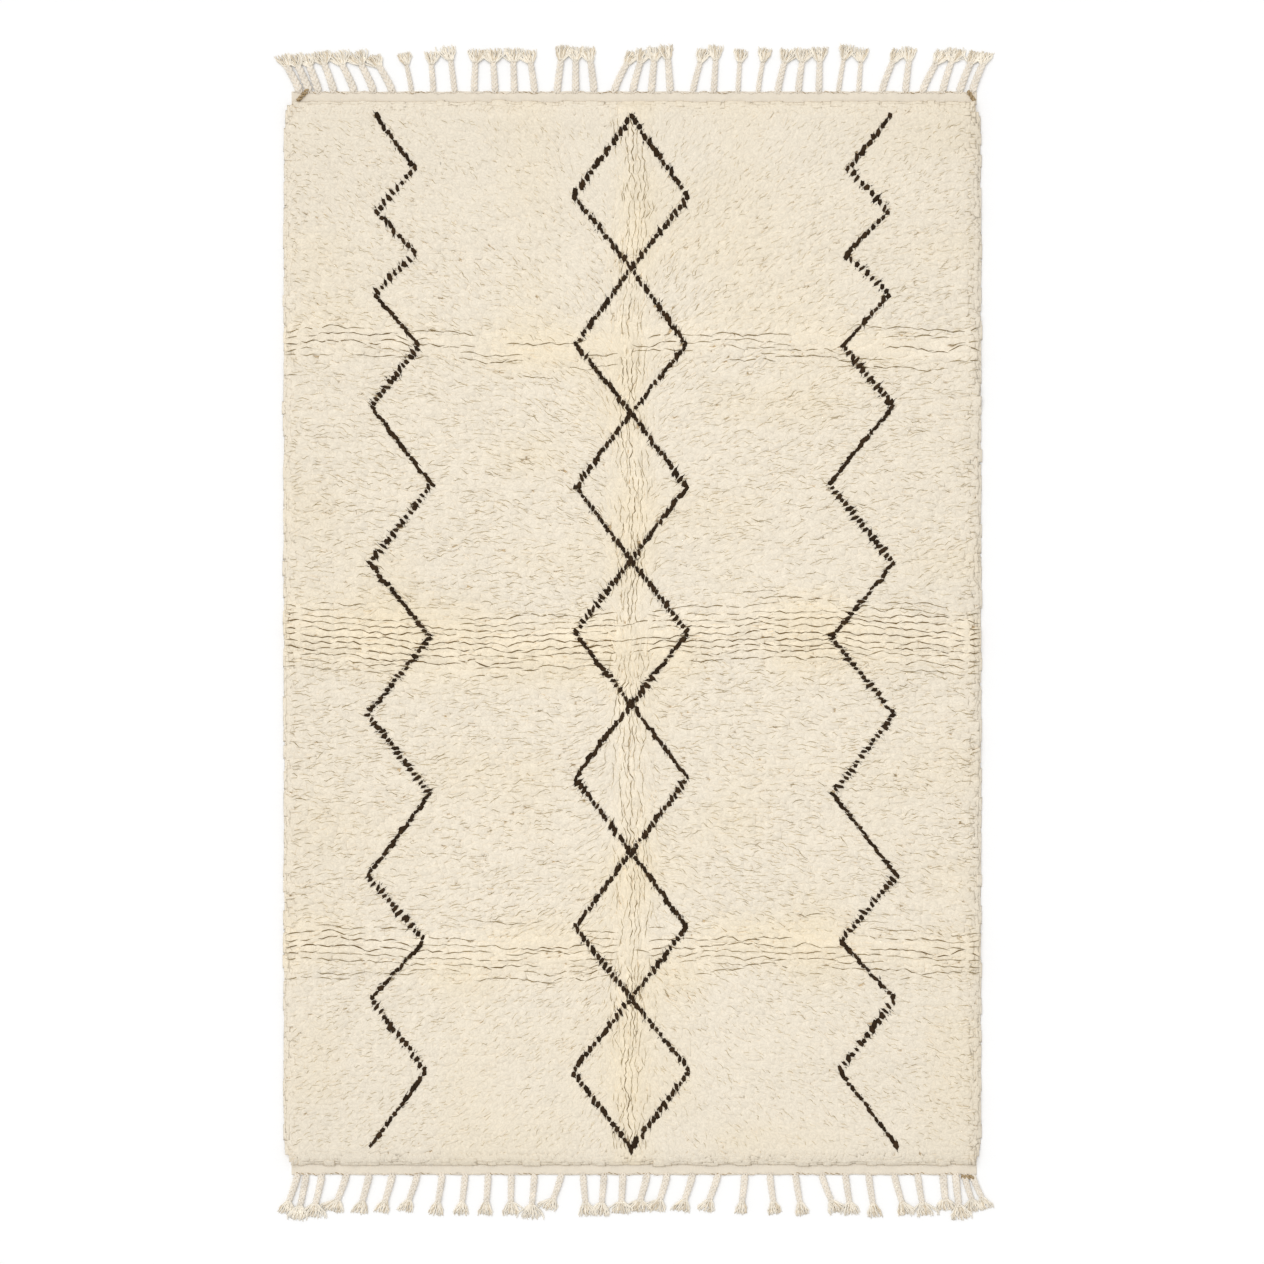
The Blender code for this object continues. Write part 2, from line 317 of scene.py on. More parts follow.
def make_wool(name, tip, root, across, along, unevenness, relief, worn=True, aged=AGED_TINT):
    """Wool whose tone follows its locks, or, where nothing carries `up`, an even yarn."""
    material = bpy.data.materials.new(name)
    material.use_nodes = True
    tree = material.node_tree
    shader = tree.nodes["Principled BSDF"]
    shader.inputs["Roughness"].default_value = ROUGHNESS
    shader.inputs["Specular IOR Level"].default_value = SPECULAR
    shader.inputs["Sheen Weight"].default_value = SHEEN
    shader.inputs["Sheen Roughness"].default_value = SHEEN_ROUGHNESS
    shader.inputs["Sheen Tint"].default_value = tip
    fibres = add_node(tree, "ShaderNodeGroup", {}, node_tree=FIBRES)
    fibres.inputs["Across"].default_value = across
    fibres.inputs["Along"].default_value = along
    tone = add_node(tree, "ShaderNodeGroup", {}, node_tree=WOOL_TONE)
    tone.inputs["Tip"].default_value = tip
    tone.inputs["Root"].default_value = root
    tone.inputs["Unevenness"].default_value = unevenness
    tone.inputs["Aged Tint"].default_value = aged
    if worn:
        uv = add_node(tree, "ShaderNodeUVMap")
        tree.links.new(uv.outputs[0], fibres.inputs["Coordinates"])
        for label in ("Up", "Shade", "Warm"):
            value = add_node(tree, "ShaderNodeAttribute", attribute_name=label.lower())
            tree.links.new(value.outputs["Fac"], tone.inputs[label])
    else:
        place = add_node(tree, "ShaderNodeTexCoord")
        tree.links.new(place.outputs["Object"], fibres.inputs["Coordinates"])
        patches = add_node(
            tree, "ShaderNodeTexNoise",
            {"Vector": place.outputs["Object"], "Scale": PATCH_SCALE, "Detail": 2.0},
        )
        shade = add_node(tree, "ShaderNodeMath", {0: patches.outputs["Fac"], 1: -0.5}, operation="ADD")
        tree.links.new(shade.outputs[0], tone.inputs["Shade"])
    tree.links.new(fibres.outputs["Streak"], tone.inputs["Streak"])
    tree.links.new(tone.outputs["Color"], shader.inputs["Base Color"])
    bump = add_node(
        tree, "ShaderNodeBump",
        {"Height": fibres.outputs["Streak"], "Strength": BUMP_STRENGTH, "Distance": relief},
    )
    tree.links.new(bump.outputs["Normal"], shader.inputs["Normal"])
    return material


# %% [markdown]
# The cream pile is darker and yellower at its roots, where the wool has seen no light. The
# painted crease strands turn from cream to brown as their `warm` grows, the brown standing
# for the shade in a crease, so that one material does for all of them. Where the wool lies
# packed or deep it is painted darker, as shade, because little light from around reaches it.

# %% The wools of the rug
CREAM_PILE = make_wool(
    "cream pile wool", tip=colour(234, 224, 206), root=colour(216, 188, 144),
    across=9, along=1.5, unevenness=0.40, relief=0.0010,
)
# Painted shade: this brown stands in for the shade in the pile's creases; `warm` sets how brown.
PAINTED_CREASE_WOOL = make_wool(
    "shaded strand wool", tip=colour(206, 190, 150), root=colour(206, 190, 150),
    across=9, along=1.5, unevenness=0.3, relief=0.0006, aged=(0.26, 0.18, 0.075, 1),
)
# Painted shade: the packed wool at the bottom of the creases is painted darker and browner.
PACKED_PILE_SHADE = make_wool(
    "packed pile wool", tip=colour(206, 183, 146), root=colour(206, 183, 146),
    across=300, along=300, unevenness=0.3, relief=0.0006, worn=False,
)
# Painted highlight: the dark wool's tips are painted lighter than its roots, as light on the tops of the
# tufts.
DARK_PILE = make_wool(
    "dark pile wool", tip=colour(54, 39, 23), root=colour(22, 14, 8),
    across=9, along=1.5, unevenness=0.6, relief=0.0006,
)
YARN = make_wool(
    "cream yarn", tip=colour(234, 225, 211), root=colour(234, 225, 211),
    across=420, along=420, unevenness=0.40, relief=0.0006, worn=False,
)
# Painted light: the tufts' cream yarn is painted lighter than the plaits' to make up for the shade its
# yarns cast on each other.
PAINTED_LIGHT_TUFT_YARN = make_wool(
    "cream tuft yarn", tip=colour(246, 238, 223), root=colour(246, 238, 223),
    across=420, along=420, unevenness=0.45, relief=0.0006, worn=False,
)
DARK_YARN = make_wool(
    "brown yarn", tip=colour(172, 150, 116), root=colour(172, 150, 116),
    across=420, along=420, unevenness=0.5, relief=0.0006, worn=False,
)
# Painted shade: the cream yarn painted darker and yellower, for yarns deep in a tuft's clefts and some on
# top.
PAINTED_SHADE_YARN = make_wool(
    "shaded yarn", tip=colour(225, 212, 190), root=colour(225, 212, 190),
    across=420, along=420, unevenness=0.4, relief=0.0006, worn=False,
)
WOVEN = make_wool(
    "woven wool", tip=colour(229, 219, 202), root=colour(229, 219, 202),
    across=90, along=700, unevenness=0.16, relief=0.0008, worn=False,
)
WOOLS = (CREAM_PILE, PAINTED_CREASE_WOOL, PACKED_PILE_SHADE, DARK_PILE, YARN, PAINTED_LIGHT_TUFT_YARN, DARK_YARN, PAINTED_SHADE_YARN, WOVEN)
print("wools:", ", ".join(wool.name for wool in WOOLS))

# %% [markdown]
# The floor is a plain pale board, larger than any view of the rug.

# %% The floor
FLOOR_SIZE = 60
FLOOR_COLOUR = (0.95, 0.95, 0.95, 1)

floor_paint = bpy.data.materials.new("pale floor")
floor_paint.use_nodes = True
floor_paint.node_tree.nodes["Principled BSDF"].inputs["Base Color"].default_value = FLOOR_COLOUR
floor_paint.node_tree.nodes["Principled BSDF"].inputs["Roughness"].default_value = 0.9
bm = bmesh.new()
bmesh.ops.create_grid(bm, x_segments=1, y_segments=1, size=FLOOR_SIZE / 2)
floor = keep("floor", bm, floor_paint)
floor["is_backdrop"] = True
print(f"floor {FLOOR_SIZE} m wide")


# %% [markdown]
# ## Smooth chance
#
# Hand work is uneven, but not like noise from a machine: neighbouring knots resemble each
# other. `drift` gives random values that change smoothly over the rug. A coarse table of
# random numbers is blended between its entries, so `step` sets how fast it changes, and it
# may differ across and along.

# %% Drift
def drift(x, y, step, seed):
    """Smooth random values from -1 to 1, over places in metres."""
    rng = np.random.default_rng(seed)
    u = (x + 2) / step[0]
    v = (y + 2) / step[1]
    table = rng.uniform(-1, 1, (int(u.max()) + 3, int(v.max()) + 3))
    i = np.floor(u).astype(int)
    j = np.floor(v).astype(int)
    right = (u - i) ** 2 * (3 - 2 * (u - i))
    far = (v - j) ** 2 * (3 - 2 * (v - j))
    near_side = table[i, j] * (1 - right) + table[i + 1, j] * right
    far_side = table[i, j + 1] * (1 - right) + table[i + 1, j + 1] * right
    return near_side * (1 - far) + far_side * far


def soft_step(value, low, high):
    """0 below low, 1 above high, smooth between."""
    share = np.clip((value - low) / (high - low), 0, 1)
    return share * share * (3 - 2 * share)


# %% [markdown]
# ## The knots
#
# The weaver ties one row of knots, beats down a few wefts, and ties the next. So the knots
# stand in columns about 9 mm apart, and in rows about 12 mm apart. At each end one more row
# is packed in between the first two, so that the pile ends in a full edge. Each knot's place
# is worked out here once, as arrays with one entry for each knot. Inside the pile it strays
# a little from its row and its column, but at the rim the knots keep in line.

# %% Where the knots stand
PILE_WIDTH = 1.580
PILE_LENGTH = 2.4155
PILE_MIDDLE = (-0.007, -0.0037)
CORNER_INSET = 0.012
CORNER_LENGTH = 0.070
COLUMNS = 166
ROWS = 197
KNOT_ACROSS = PILE_WIDTH / COLUMNS
KNOT_ALONG = PILE_LENGTH / ROWS
KNOT_UNREST = 0.0018
UNREST_WIDTH = 0.020
UNREST_FROM = 0.4
SEED = 11

rng = np.random.default_rng(SEED)
row_numbers = np.append(np.arange(ROWS), (0.5, ROWS - 1.5))
column, row = (grid.ravel() for grid in np.meshgrid(np.arange(COLUMNS), row_numbers))
knot_x = ((column + 0.5) / COLUMNS - 0.5) * PILE_WIDTH
knot_y = ((row + 0.5) / ROWS - 0.5) * PILE_LENGTH
from_side = PILE_WIDTH / 2 - np.abs(knot_x)
from_end = PILE_LENGTH / 2 - np.abs(knot_y)
inset = CORNER_INSET * (1 - np.clip(from_end / CORNER_LENGTH, 0, 1)) ** 2
knot_x = PILE_MIDDLE[0] + knot_x * (1 - 2 * inset / PILE_WIDTH)
knot_y = PILE_MIDDLE[1] + knot_y
away_from_rim = np.clip(np.minimum(from_side, from_end) / UNREST_WIDTH - UNREST_FROM, 0, 1)
knot_x = knot_x + KNOT_UNREST * away_from_rim * rng.normal(size=len(knot_x))
knot_y = knot_y + KNOT_UNREST * away_from_rim * rng.normal(size=len(knot_x))
KNOTS = len(knot_x)
print(f"{COLUMNS} columns x {len(row_numbers)} rows = {KNOTS} knots, "
      f"{KNOT_ACROSS * 1000:.1f} by {KNOT_ALONG * 1000:.1f} mm")

# %% [markdown]
# ## How the wool lies
#
# A knot's two cut ends spread side by side, so its tip is a lock that is somewhat longer
# than it is wide. Most locks lie along the rows. Towards the ends of the rug they turn to
# point away from its middle, and down its centre line, where the rug was folded lengthwise
# for storage, they lie along the rug. The two outermost rows at each end lie along the
# bands, and the outermost columns along the sides.

# %% The direction of the locks
ENDS_FROM = 0.50
ENDS_TO = 1.35
STILL_LINE = -0.10
TURN_SHARE = 0.66
SIDEWAYS = 3.0
CENTRE_LINE = -0.010
CENTRE_HALF = 0.020
CENTRE_FADE = 0.090
RIM_WIDTH = 0.035
LIE_DRIFT = 0.50
LIE_UNREST = 0.16


def common_lie(x, y):
    """The direction that all the wool around a place shares."""
    from_still = y - STILL_LINE
    turned = np.clip(np.abs(from_still) * TURN_SHARE, 0, 1)
    outward = np.arctan2(from_still, SIDEWAYS * np.abs(x)) * np.sign(x)
    upright = np.sign(outward + 1e-9) * math.pi / 2
    centre = 1 - soft_step(np.abs(x - CENTRE_LINE), CENTRE_HALF, CENTRE_FADE)
    return outward * turned * (1 - centre) + upright * centre


rim_side = np.clip(1 - from_side / RIM_WIDTH, 0, 1)
rim_end = np.clip(1 - from_end / RIM_WIDTH, 0, 1)
end_row = (row < 1) | (row > ROWS - 2)
side_column = (column == 0) | (column == COLUMNS - 1)
lie = common_lie(knot_x, knot_y)
lie += LIE_DRIFT * drift(knot_x, knot_y, (0.040, 0.040), 33) + LIE_UNREST * rng.normal(size=KNOTS)
lie = np.where(side_column, math.pi / 2, lie)
lie = np.where(end_row, 0, lie)
along_rows = np.cos(lie) ** 2
along_columns = 1 - along_rows
print(f"{(along_rows > 0.5).mean():.0%} of the locks lie more along the rows than across them")

# %% [markdown]
# ## Creases
#
# Between the locks the pile parts in thin wavy creases, a few centimetres long. They are
# faint at the ends of the rug, stronger in its middle, and long and deep where the rug was
# folded: three times across and once lengthwise. Elsewhere neighbouring rows overlap and
# hide their boundary. At a crease each lock draws in the edge that faces it, so narrowing
# the lock and pushing its tip away by half as much leaves its other edge where it was.

# %% Folds and creases
Fold = namedtuple("Fold", "runs place half_width strength wander wander_length")
FOLDS = (
    Fold(runs="across", place=0.654, half_width=0.060, strength=0.46, wander=0.010, wander_length=0.90),
    Fold(runs="across", place=-0.014, half_width=0.082, strength=0.85, wander=0.014, wander_length=1.30),
    Fold(runs="across", place=-0.727, half_width=0.070, strength=0.58, wander=0.010, wander_length=1.05),
    Fold(runs="along", place=-0.010, half_width=0.040, strength=0.70, wander=0.008, wander_length=0.80),
)
QUIET_FROM = 0.80
QUIET_TO = 1.12
QUIET_LESS = 0.35
CREASE_FROM = -0.1
CREASE_PATCHES = 0.2
CREASE_FADE = 0.35
CREASE_DEPTH = 0.80
FOLD_EDGE_DRIFT = 0.3
FOLD_OPENS = 0.50
FOLD_OPENS_DRIFT = 0.25
FOLD_POWER = 0.6


def fold_share(runs, x, y, spread=1.0):
    """How strongly the folds that run this way mark the pile, at each place."""
    share = np.zeros_like(x)
    for fold in FOLDS:
        if fold.runs != runs:
            continue
        along, across = (x, y) if runs == "across" else (y, x)
        line = fold.place + fold.wander * np.sin(math.tau * along / fold.wander_length)
        uneven = 1 + FOLD_EDGE_DRIFT * drift(x, y, (0.11, 0.11), 45)
        away = np.abs(across - line) / (fold.half_width * spread * uneven)
        share = np.maximum(share, fold.strength * (1 - soft_step(away, 0.0, 1.2)))
    return share


def crease(runs, x, y, seed):
    """How far the pile opens, 0 to 1, on a line between two rows or two columns."""
    step = (0.040, 0.009) if runs == "across" else (0.008, 0.040)
    long_step = (0.160, 0.010) if runs == "across" else (0.009, 0.160)
    patch = drift(x, y, (0.20, 0.14), seed)
    quiet = soft_step(np.abs(y), QUIET_FROM, QUIET_TO)
    open_at = CREASE_FROM + QUIET_LESS * quiet - CREASE_PATCHES * patch
    weak = CREASE_DEPTH * soft_step(drift(x, y, step, seed + 1), open_at, open_at + CREASE_FADE)
    folded_here = fold_share(runs, x, y)
    opens = FOLD_OPENS + FOLD_OPENS_DRIFT * drift(x, y, long_step, seed + 2)
    strong = folded_here ** FOLD_POWER * opens * (folded_here > 0)
    return np.maximum(weak, strong)


half_row = KNOT_ALONG / 2
half_column = KNOT_ACROSS / 2
inside = 1 - np.maximum(rim_side, rim_end)
above = crease("across", knot_x, knot_y + half_row, 50) * along_rows * inside
below = crease("across", knot_x, knot_y - half_row, 50) * along_rows * inside
right = crease("along", knot_x + half_column, knot_y, 60) * along_columns * inside
left = crease("along", knot_x - half_column, knot_y, 60) * along_columns * inside
print(f"mean crease between rows {above.mean():.2f}, between columns {right.mean():.2f}")

# %% [markdown]
# A lock's tip seldom stands straight above its knot. It leans away from a crease, it sways
# with its neighbours, and it has a small unrest of its own. At the rim nothing holds it
# from outside, so it hangs over the edge: this *splay* is kept apart, because it turns the
# lock over as a whole. At the corners the sides draw it back, which rounds them.

# %% Where each tip goes
DRAW_IN_ROWS = 0.0050
DRAW_IN_COLUMNS = 0.0040
WAVE_LEAN = 0.0040
FOLD_CALM = 0.15
SIDE_CALM = 0.6
QUIET_CALM = 0.30
TUFT_LEAN = 0.0010
RIM_UNREST = 0.5
END_UNREST = 0.3
SPLAY = 0.006
SPLAY_DRIFT = 0.06
END_SPLAY = 0.007
END_SPLAY_DRIFT = 0.2
CORNER_DRAW = 0.018
CORNER_REACH = 0.060

folded = np.maximum(fold_share("across", knot_x, knot_y), fold_share("along", knot_x, knot_y))
wave = WAVE_LEAN * (1 - FOLD_CALM * np.clip(folded, 0, 1)) * (1 - SIDE_CALM * rim_side)
wave *= 1 - QUIET_CALM * soft_step(np.abs(knot_y), QUIET_FROM, QUIET_TO)
tip_x = DRAW_IN_COLUMNS / 2 * (left - right) + wave * drift(knot_x, knot_y, (0.060, 0.020), 31)
tip_y = DRAW_IN_ROWS / 2 * (below - above) + wave * drift(knot_x, knot_y, (0.020, 0.060), 32)
unrest = TUFT_LEAN * (1 + RIM_UNREST * rim_side + END_UNREST * rim_end)
tip_x += unrest * rng.normal(size=KNOTS)
tip_y += unrest * rng.normal(size=KNOTS)
side = np.sign(knot_x - PILE_MIDDLE[0])
corner = CORNER_DRAW * rim_side * np.clip(1 - from_end / CORNER_REACH, 0, 1) ** 2
side_drift = 1 + SPLAY_DRIFT * drift(knot_x, knot_y, (0.05, 0.012), 35)
splay_x = side * (SPLAY * rim_side * side_drift - corner)
end = np.sign(knot_y - PILE_MIDDLE[1])
end_drift = 1 + END_SPLAY_DRIFT * drift(knot_x, knot_y, (0.014, 0.05), 36)
splay_y = end * END_SPLAY * rim_end * end_drift
print(f"tips move {np.hypot(tip_x, tip_y).mean() * 1000:.1f} mm on average, "
      f"and hang out by up to {np.abs(splay_x).max() * 1000:.1f} mm")

# %% [markdown]
# ## The pattern
#
# The lines are one dark tuft wide. From row to row a line moves over by about a column,
# which is why the slopes are alike. The tables list only the turning points, in metres from
# the middle of the rug, and a helper gives a line's place anywhere between them.

# %% The chart
Turn = namedtuple("Turn", "along left right")
ZIGZAGS = (
    Turn(1.172, -0.590, 0.581), Turn(1.058, -0.503, 0.485), Turn(0.958, -0.592, 0.579),
    Turn(0.862, -0.501, 0.480), Turn(0.770, -0.597, 0.579), Turn(0.652, -0.494, 0.474),
    Turn(0.514, -0.604, 0.588), Turn(0.337, -0.465, 0.442), Turn(0.155, -0.606, 0.588),
    Turn(-0.013, -0.467, 0.446), Turn(-0.188, -0.611, 0.590), Turn(-0.371, -0.469, 0.451),
    Turn(-0.556, -0.611, 0.595), Turn(-0.707, -0.483, 0.469), Turn(-0.839, -0.604, 0.592),
    Turn(-1.003, -0.478, 0.465), Turn(-1.173, -0.604, 0.597),
)
Point = namedtuple("Point", "along half_width")
DIAMONDS = (
    Point(1.174, 0), Point(0.992, 0.130), Point(0.830, 0), Point(0.654, 0.126),
    Point(0.499, 0), Point(0.330, 0.126), Point(0.163, 0), Point(-0.003, 0.128),
    Point(-0.166, 0), Point(-0.334, 0.128), Point(-0.503, 0), Point(-0.675, 0.127),
    Point(-0.837, 0), Point(-1.003, 0.133), Point(-1.179, 0),
)
DIAMOND_MIDDLE = -0.010


def line_at(along, places, values):
    """A line's place at each y, between its turning points."""
    order = np.argsort(places)
    return np.interp(along, np.array(places)[order], np.array(values)[order])


def lines_at(y):
    """Where each of the four lines lies at these places along the rug, and its two ends."""
    turns = [turn.along for turn in ZIGZAGS]
    points = [point.along for point in DIAMONDS]
    half = line_at(y, points, [point.half_width for point in DIAMONDS])
    yield line_at(y, turns, [turn.left for turn in ZIGZAGS]), turns
    yield line_at(y, turns, [turn.right for turn in ZIGZAGS]), turns
    yield DIAMOND_MIDDLE - half, points
    yield DIAMOND_MIDDLE + half, points


# %% [markdown]
# The dark tufts stand right on the lines, about a row apart. In each row the cream knot
# whose tip comes nearest to a line is left out, to make room for them.

# %% Where the dark tufts stand
DARK_STEP_MIDDLE = 0.0096
DARK_STEP_ENDS = 0.0122
DARK_UNREST = 0.0011


def dark_knots():
    """Marks, in each row, the cream knot whose tip is nearest to each line: it stays out."""
    dark = np.zeros(KNOTS, bool)
    for line, places in lines_at(knot_y + splay_y + tip_y):
        off = line - (knot_x + splay_x + tip_x)
        for r in range(ROWS):
            first = r * COLUMNS
            nearest = first + np.argmin(np.abs(off[first:first + COLUMNS]))
            if min(places) - KNOT_ALONG / 2 <= knot_y[nearest] <= max(places) + KNOT_ALONG / 2:
                dark[nearest] = True
    return dark


def dark_tuft_places():
    """Where the dark tufts stand along the four lines, closer together in the middle."""
    places = []
    y = -PILE_LENGTH / 2
    while y < PILE_LENGTH / 2:
        near_end = float(soft_step(abs(y), ENDS_FROM, ENDS_TO))
        step = DARK_STEP_MIDDLE + (DARK_STEP_ENDS - DARK_STEP_MIDDLE) * near_end
        for line, turns in lines_at(np.array([y])):
            if min(turns) - step / 2 <= y <= max(turns) + step / 2:
                places.append((line[0], y))
        y += step
    return np.array(places)


is_dark = dark_knots()
dark_at = dark_tuft_places()
print(f"{is_dark.sum()} cream knots left out, {len(dark_at)} dark tufts")

# %% [markdown]
# The tips reach the top of the solid that the pile replaces, so the storage folds and the
# rounded rim come from the frame: a ray straight down from above each knot says how high
# the solid is there.

# %% How high the pile stands
GROUND_TOP = 0.0035
HIGH = 1.0
EDGE_IN = 0.0015

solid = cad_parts["pile_field"]
solid_tree = BVHTree.FromObject(solid, bpy.context.evaluated_depsgraph_get())


def solid_height(x, y):
    hit = solid_tree.ray_cast(Vector((x, y, HIGH)), Vector((0, 0, -1)))[0]
    return hit.z if hit else GROUND_TOP


def tip_heights():
    """How high the solid is under each tip, or at its edge where a tip hangs over it."""
    x = knot_x + np.sign(splay_x) * np.minimum(np.abs(splay_x), from_side - EDGE_IN)
    y = knot_y + np.sign(splay_y) * np.minimum(np.abs(splay_y), from_end - EDGE_IN)
    return np.array([solid_height(*place) for place in zip(x, y)])


top = tip_heights()
print(f"pile {top.min() * 1000:.1f} to {top.max() * 1000:.1f} mm high")

# %% [markdown]
# ## A lock
#
# One lock is a small closed form of four sides: a point at the knot, a wide ragged rim, and
# a soft dome for its tip. It is repeated tens of thousands of times, so it has only 16
# triangles, and a dozen different ones are enough to hide the repeat. Each is made 1 high
# with a radius of 1, so that a knot's own size can scale it. The dark tufts stand out
# singly, so they get five sides, a more ragged rim, and stray hairs at their two ends.

# %% Lock shapes
LOCK_KINDS = 12
RIM_UP = 0.86
SHOULDER_UP = 0.965
SHOULDER_SHARE = 0.72


def add_hair(bm, chance):
    """A stray end of wool that sticks out of a lock's tip, as a thin three-sided spike."""
    length = chance.uniform(0.45, 0.95)
    turn = chance.choice((0, math.pi)) + chance.normal() * 0.30
    lay_down = Matrix.Rotation(turn, 4, "Z") @ Matrix.Rotation(math.pi / 2, 4, "Y")
    start = Vector((math.cos(turn), math.sin(turn), 0)) * (0.80 + length / 2)
    start.y += chance.uniform(-0.45, 0.45)
    start.z = chance.uniform(0.88, 0.97)
    bmesh.ops.create_cone(
        bm, cap_ends=True, segments=3, radius1=chance.uniform(0.10, 0.20), radius2=0, depth=length,
        matrix=Matrix.Translation(start) @ Matrix.Diagonal((1, 1, 0.25, 1)) @ lay_down,
    )


def lock_bmesh(chance, sides, ragged, hairs):
    bm = bmesh.new()
    up = bm.verts.layers.float.new("up")
    flat_side_on = Matrix.Rotation(math.pi / sides, 4, "Z")
    rim = bmesh.ops.create_circle(bm, cap_ends=True, segments=sides, radius=1, matrix=flat_side_on)["verts"]
    cap = bm.faces[:]
    made = bmesh.ops.extrude_face_region(bm, geom=cap, use_keep_orig=True)
    shoulder = new_verts(made)
    for vert in rim:
        vert.co *= chance.uniform(1 - ragged, 1 + ragged)
        vert.co.z = RIM_UP + chance.uniform(-0.05, 0.04)
    for vert in shoulder:
        vert.co *= SHOULDER_SHARE * chance.uniform(0.88, 1.12)
        vert.co.z = SHOULDER_UP + chance.uniform(-0.02, 0.02)
    top_face = [face for face in bm.faces if all(vert in shoulder for vert in face.verts)]
    tip = bmesh.ops.poke(bm, faces=top_face)["verts"][0]
    tip.co = (chance.uniform(-0.2, 0.2), chance.uniform(-0.2, 0.2), 1)
    root_face = [face for face in bm.faces if all(vert in rim for vert in face.verts)]
    root = bmesh.ops.poke(bm, faces=root_face)["verts"][0]
    root.co = (0, 0, 0)
    for _ in range(hairs):
        add_hair(bm, chance)
    for vert in bm.verts:
        vert[up] = vert.co.z
    bmesh.ops.recalc_face_normals(bm, faces=bm.faces)
    return bm


def wrap_uv(bm):
    """U runs once round the lock and V up it, so that a texture follows its fibres."""
    layer = bm.loops.layers.uv.new("UVMap")
    up = bm.verts.layers.float["up"]
    for face in bm.faces:
        face.smooth = True
        middle = face.calc_center_median()
        facing = math.atan2(middle.y, middle.x)
        for loop in face.loops:
            x, y = loop.vert.co.xy
            turn = math.atan2(y, x) - facing if x * x + y * y > 1e-9 else 0
            turn = (turn + math.pi) % math.tau - math.pi
            loop[layer].uv = ((facing + turn) / math.tau, loop.vert[up])


def kinds_of(name, material, make, **how):
    """Different shapes of one sort, out of sight, for instances to be drawn from."""
    kinds = bpy.data.collections.new(name)
    chance = np.random.default_rng(SEED + 1)
    for number in range(LOCK_KINDS):
        bm = make(chance, **how)
        wrap_uv(bm)
        mesh = bpy.data.meshes.new(f"{name}_{number:02d}")
        bm.to_mesh(mesh)
        bm.free()
        mesh.materials.append(material)
        kinds.objects.link(bpy.data.objects.new(mesh.name, mesh))
    return kinds


# %% [markdown]
# ## Planting the locks
#
# Geometry Nodes puts a lock on every knot: *Instance on Points* picks a shape, turns it and
# scales it by the knot's own attributes, *Realize Instances* makes it real mesh, and *Set
# Position* bends it over, the tip fully and the root not at all, and keeps it above the
# floor. Doing it per knot in Python would be the same steps, but far slower.

# %% The planting nodes
LOWEST = 0.0004
NO_LIMIT = -9
BEND_POWER = 1.5


def named(tree, name, kind):
    node = tree.nodes.new("GeometryNodeInputNamedAttribute")
    node.data_type = kind
    node.inputs["Name"].default_value = name
    return node.outputs["Attribute"]


def planting_tree(kinds):
    tree = bpy.data.node_groups.new("plant " + kinds.name, "GeometryNodeTree")
    tree.interface.new_socket("Geometry", in_out="INPUT", socket_type="NodeSocketGeometry")
    tree.interface.new_socket("Geometry", in_out="OUTPUT", socket_type="NodeSocketGeometry")
    given = tree.nodes.new("NodeGroupInput")
    out = tree.nodes.new("NodeGroupOutput")
    shapes = add_node(
        tree, "GeometryNodeCollectionInfo",
        {"Collection": kinds, "Separate Children": True, "Reset Children": True},
    )
    plant = add_node(
        tree, "GeometryNodeInstanceOnPoints",
        {
            "Points": given.outputs[0],
            "Instance": shapes.outputs[0],
            "Pick Instance": True,
            "Instance Index": named(tree, "kind", "INT"),
            "Rotation": named(tree, "turn", "FLOAT_VECTOR"),
            "Scale": named(tree, "size", "FLOAT_VECTOR"),
        },
    )
    real = add_node(tree, "GeometryNodeRealizeInstances", {"Geometry": plant.outputs[0]})
    bend = add_node(
        tree, "ShaderNodeMath", {0: named(tree, "up", "FLOAT"), 1: BEND_POWER}, operation="POWER",
    )
    move = add_node(
        tree, "ShaderNodeVectorMath",
        {0: named(tree, "lean", "FLOAT_VECTOR"), "Scale": bend.outputs[0]}, operation="SCALE",
    )
    start = tree.nodes.new("GeometryNodeInputPosition")
    bent = add_node(
        tree, "ShaderNodeVectorMath", {0: start.outputs[0], 1: move.outputs[0]}, operation="ADD",
    )
    laid = add_node(
        tree, "ShaderNodeVectorMath",
        {0: bent.outputs[0], 1: (NO_LIMIT, NO_LIMIT, LOWEST)}, operation="MAXIMUM",
    )
    place = add_node(
        tree, "GeometryNodeSetPosition", {"Geometry": real.outputs[0], "Position": laid.outputs[0]},
    )
    tree.links.new(place.outputs[0], out.inputs[0])
    return tree


# %% [markdown]
# The nodes read each knot's facts from attributes of a mesh that has only points, one for
# each knot. The modifier turns them into locks, and the mesh that comes out of it is kept.
# The locks keep the attributes that colour them: `up`, `shade` and `warm`.

# %% A planted piece
FACTS = (
    ("kind", "INT", "value"), ("turn", "FLOAT_VECTOR", "vector"), ("size", "FLOAT_VECTOR", "vector"),
    ("lean", "FLOAT_VECTOR", "vector"), ("shade", "FLOAT", "value"), ("warm", "FLOAT", "value"),
)


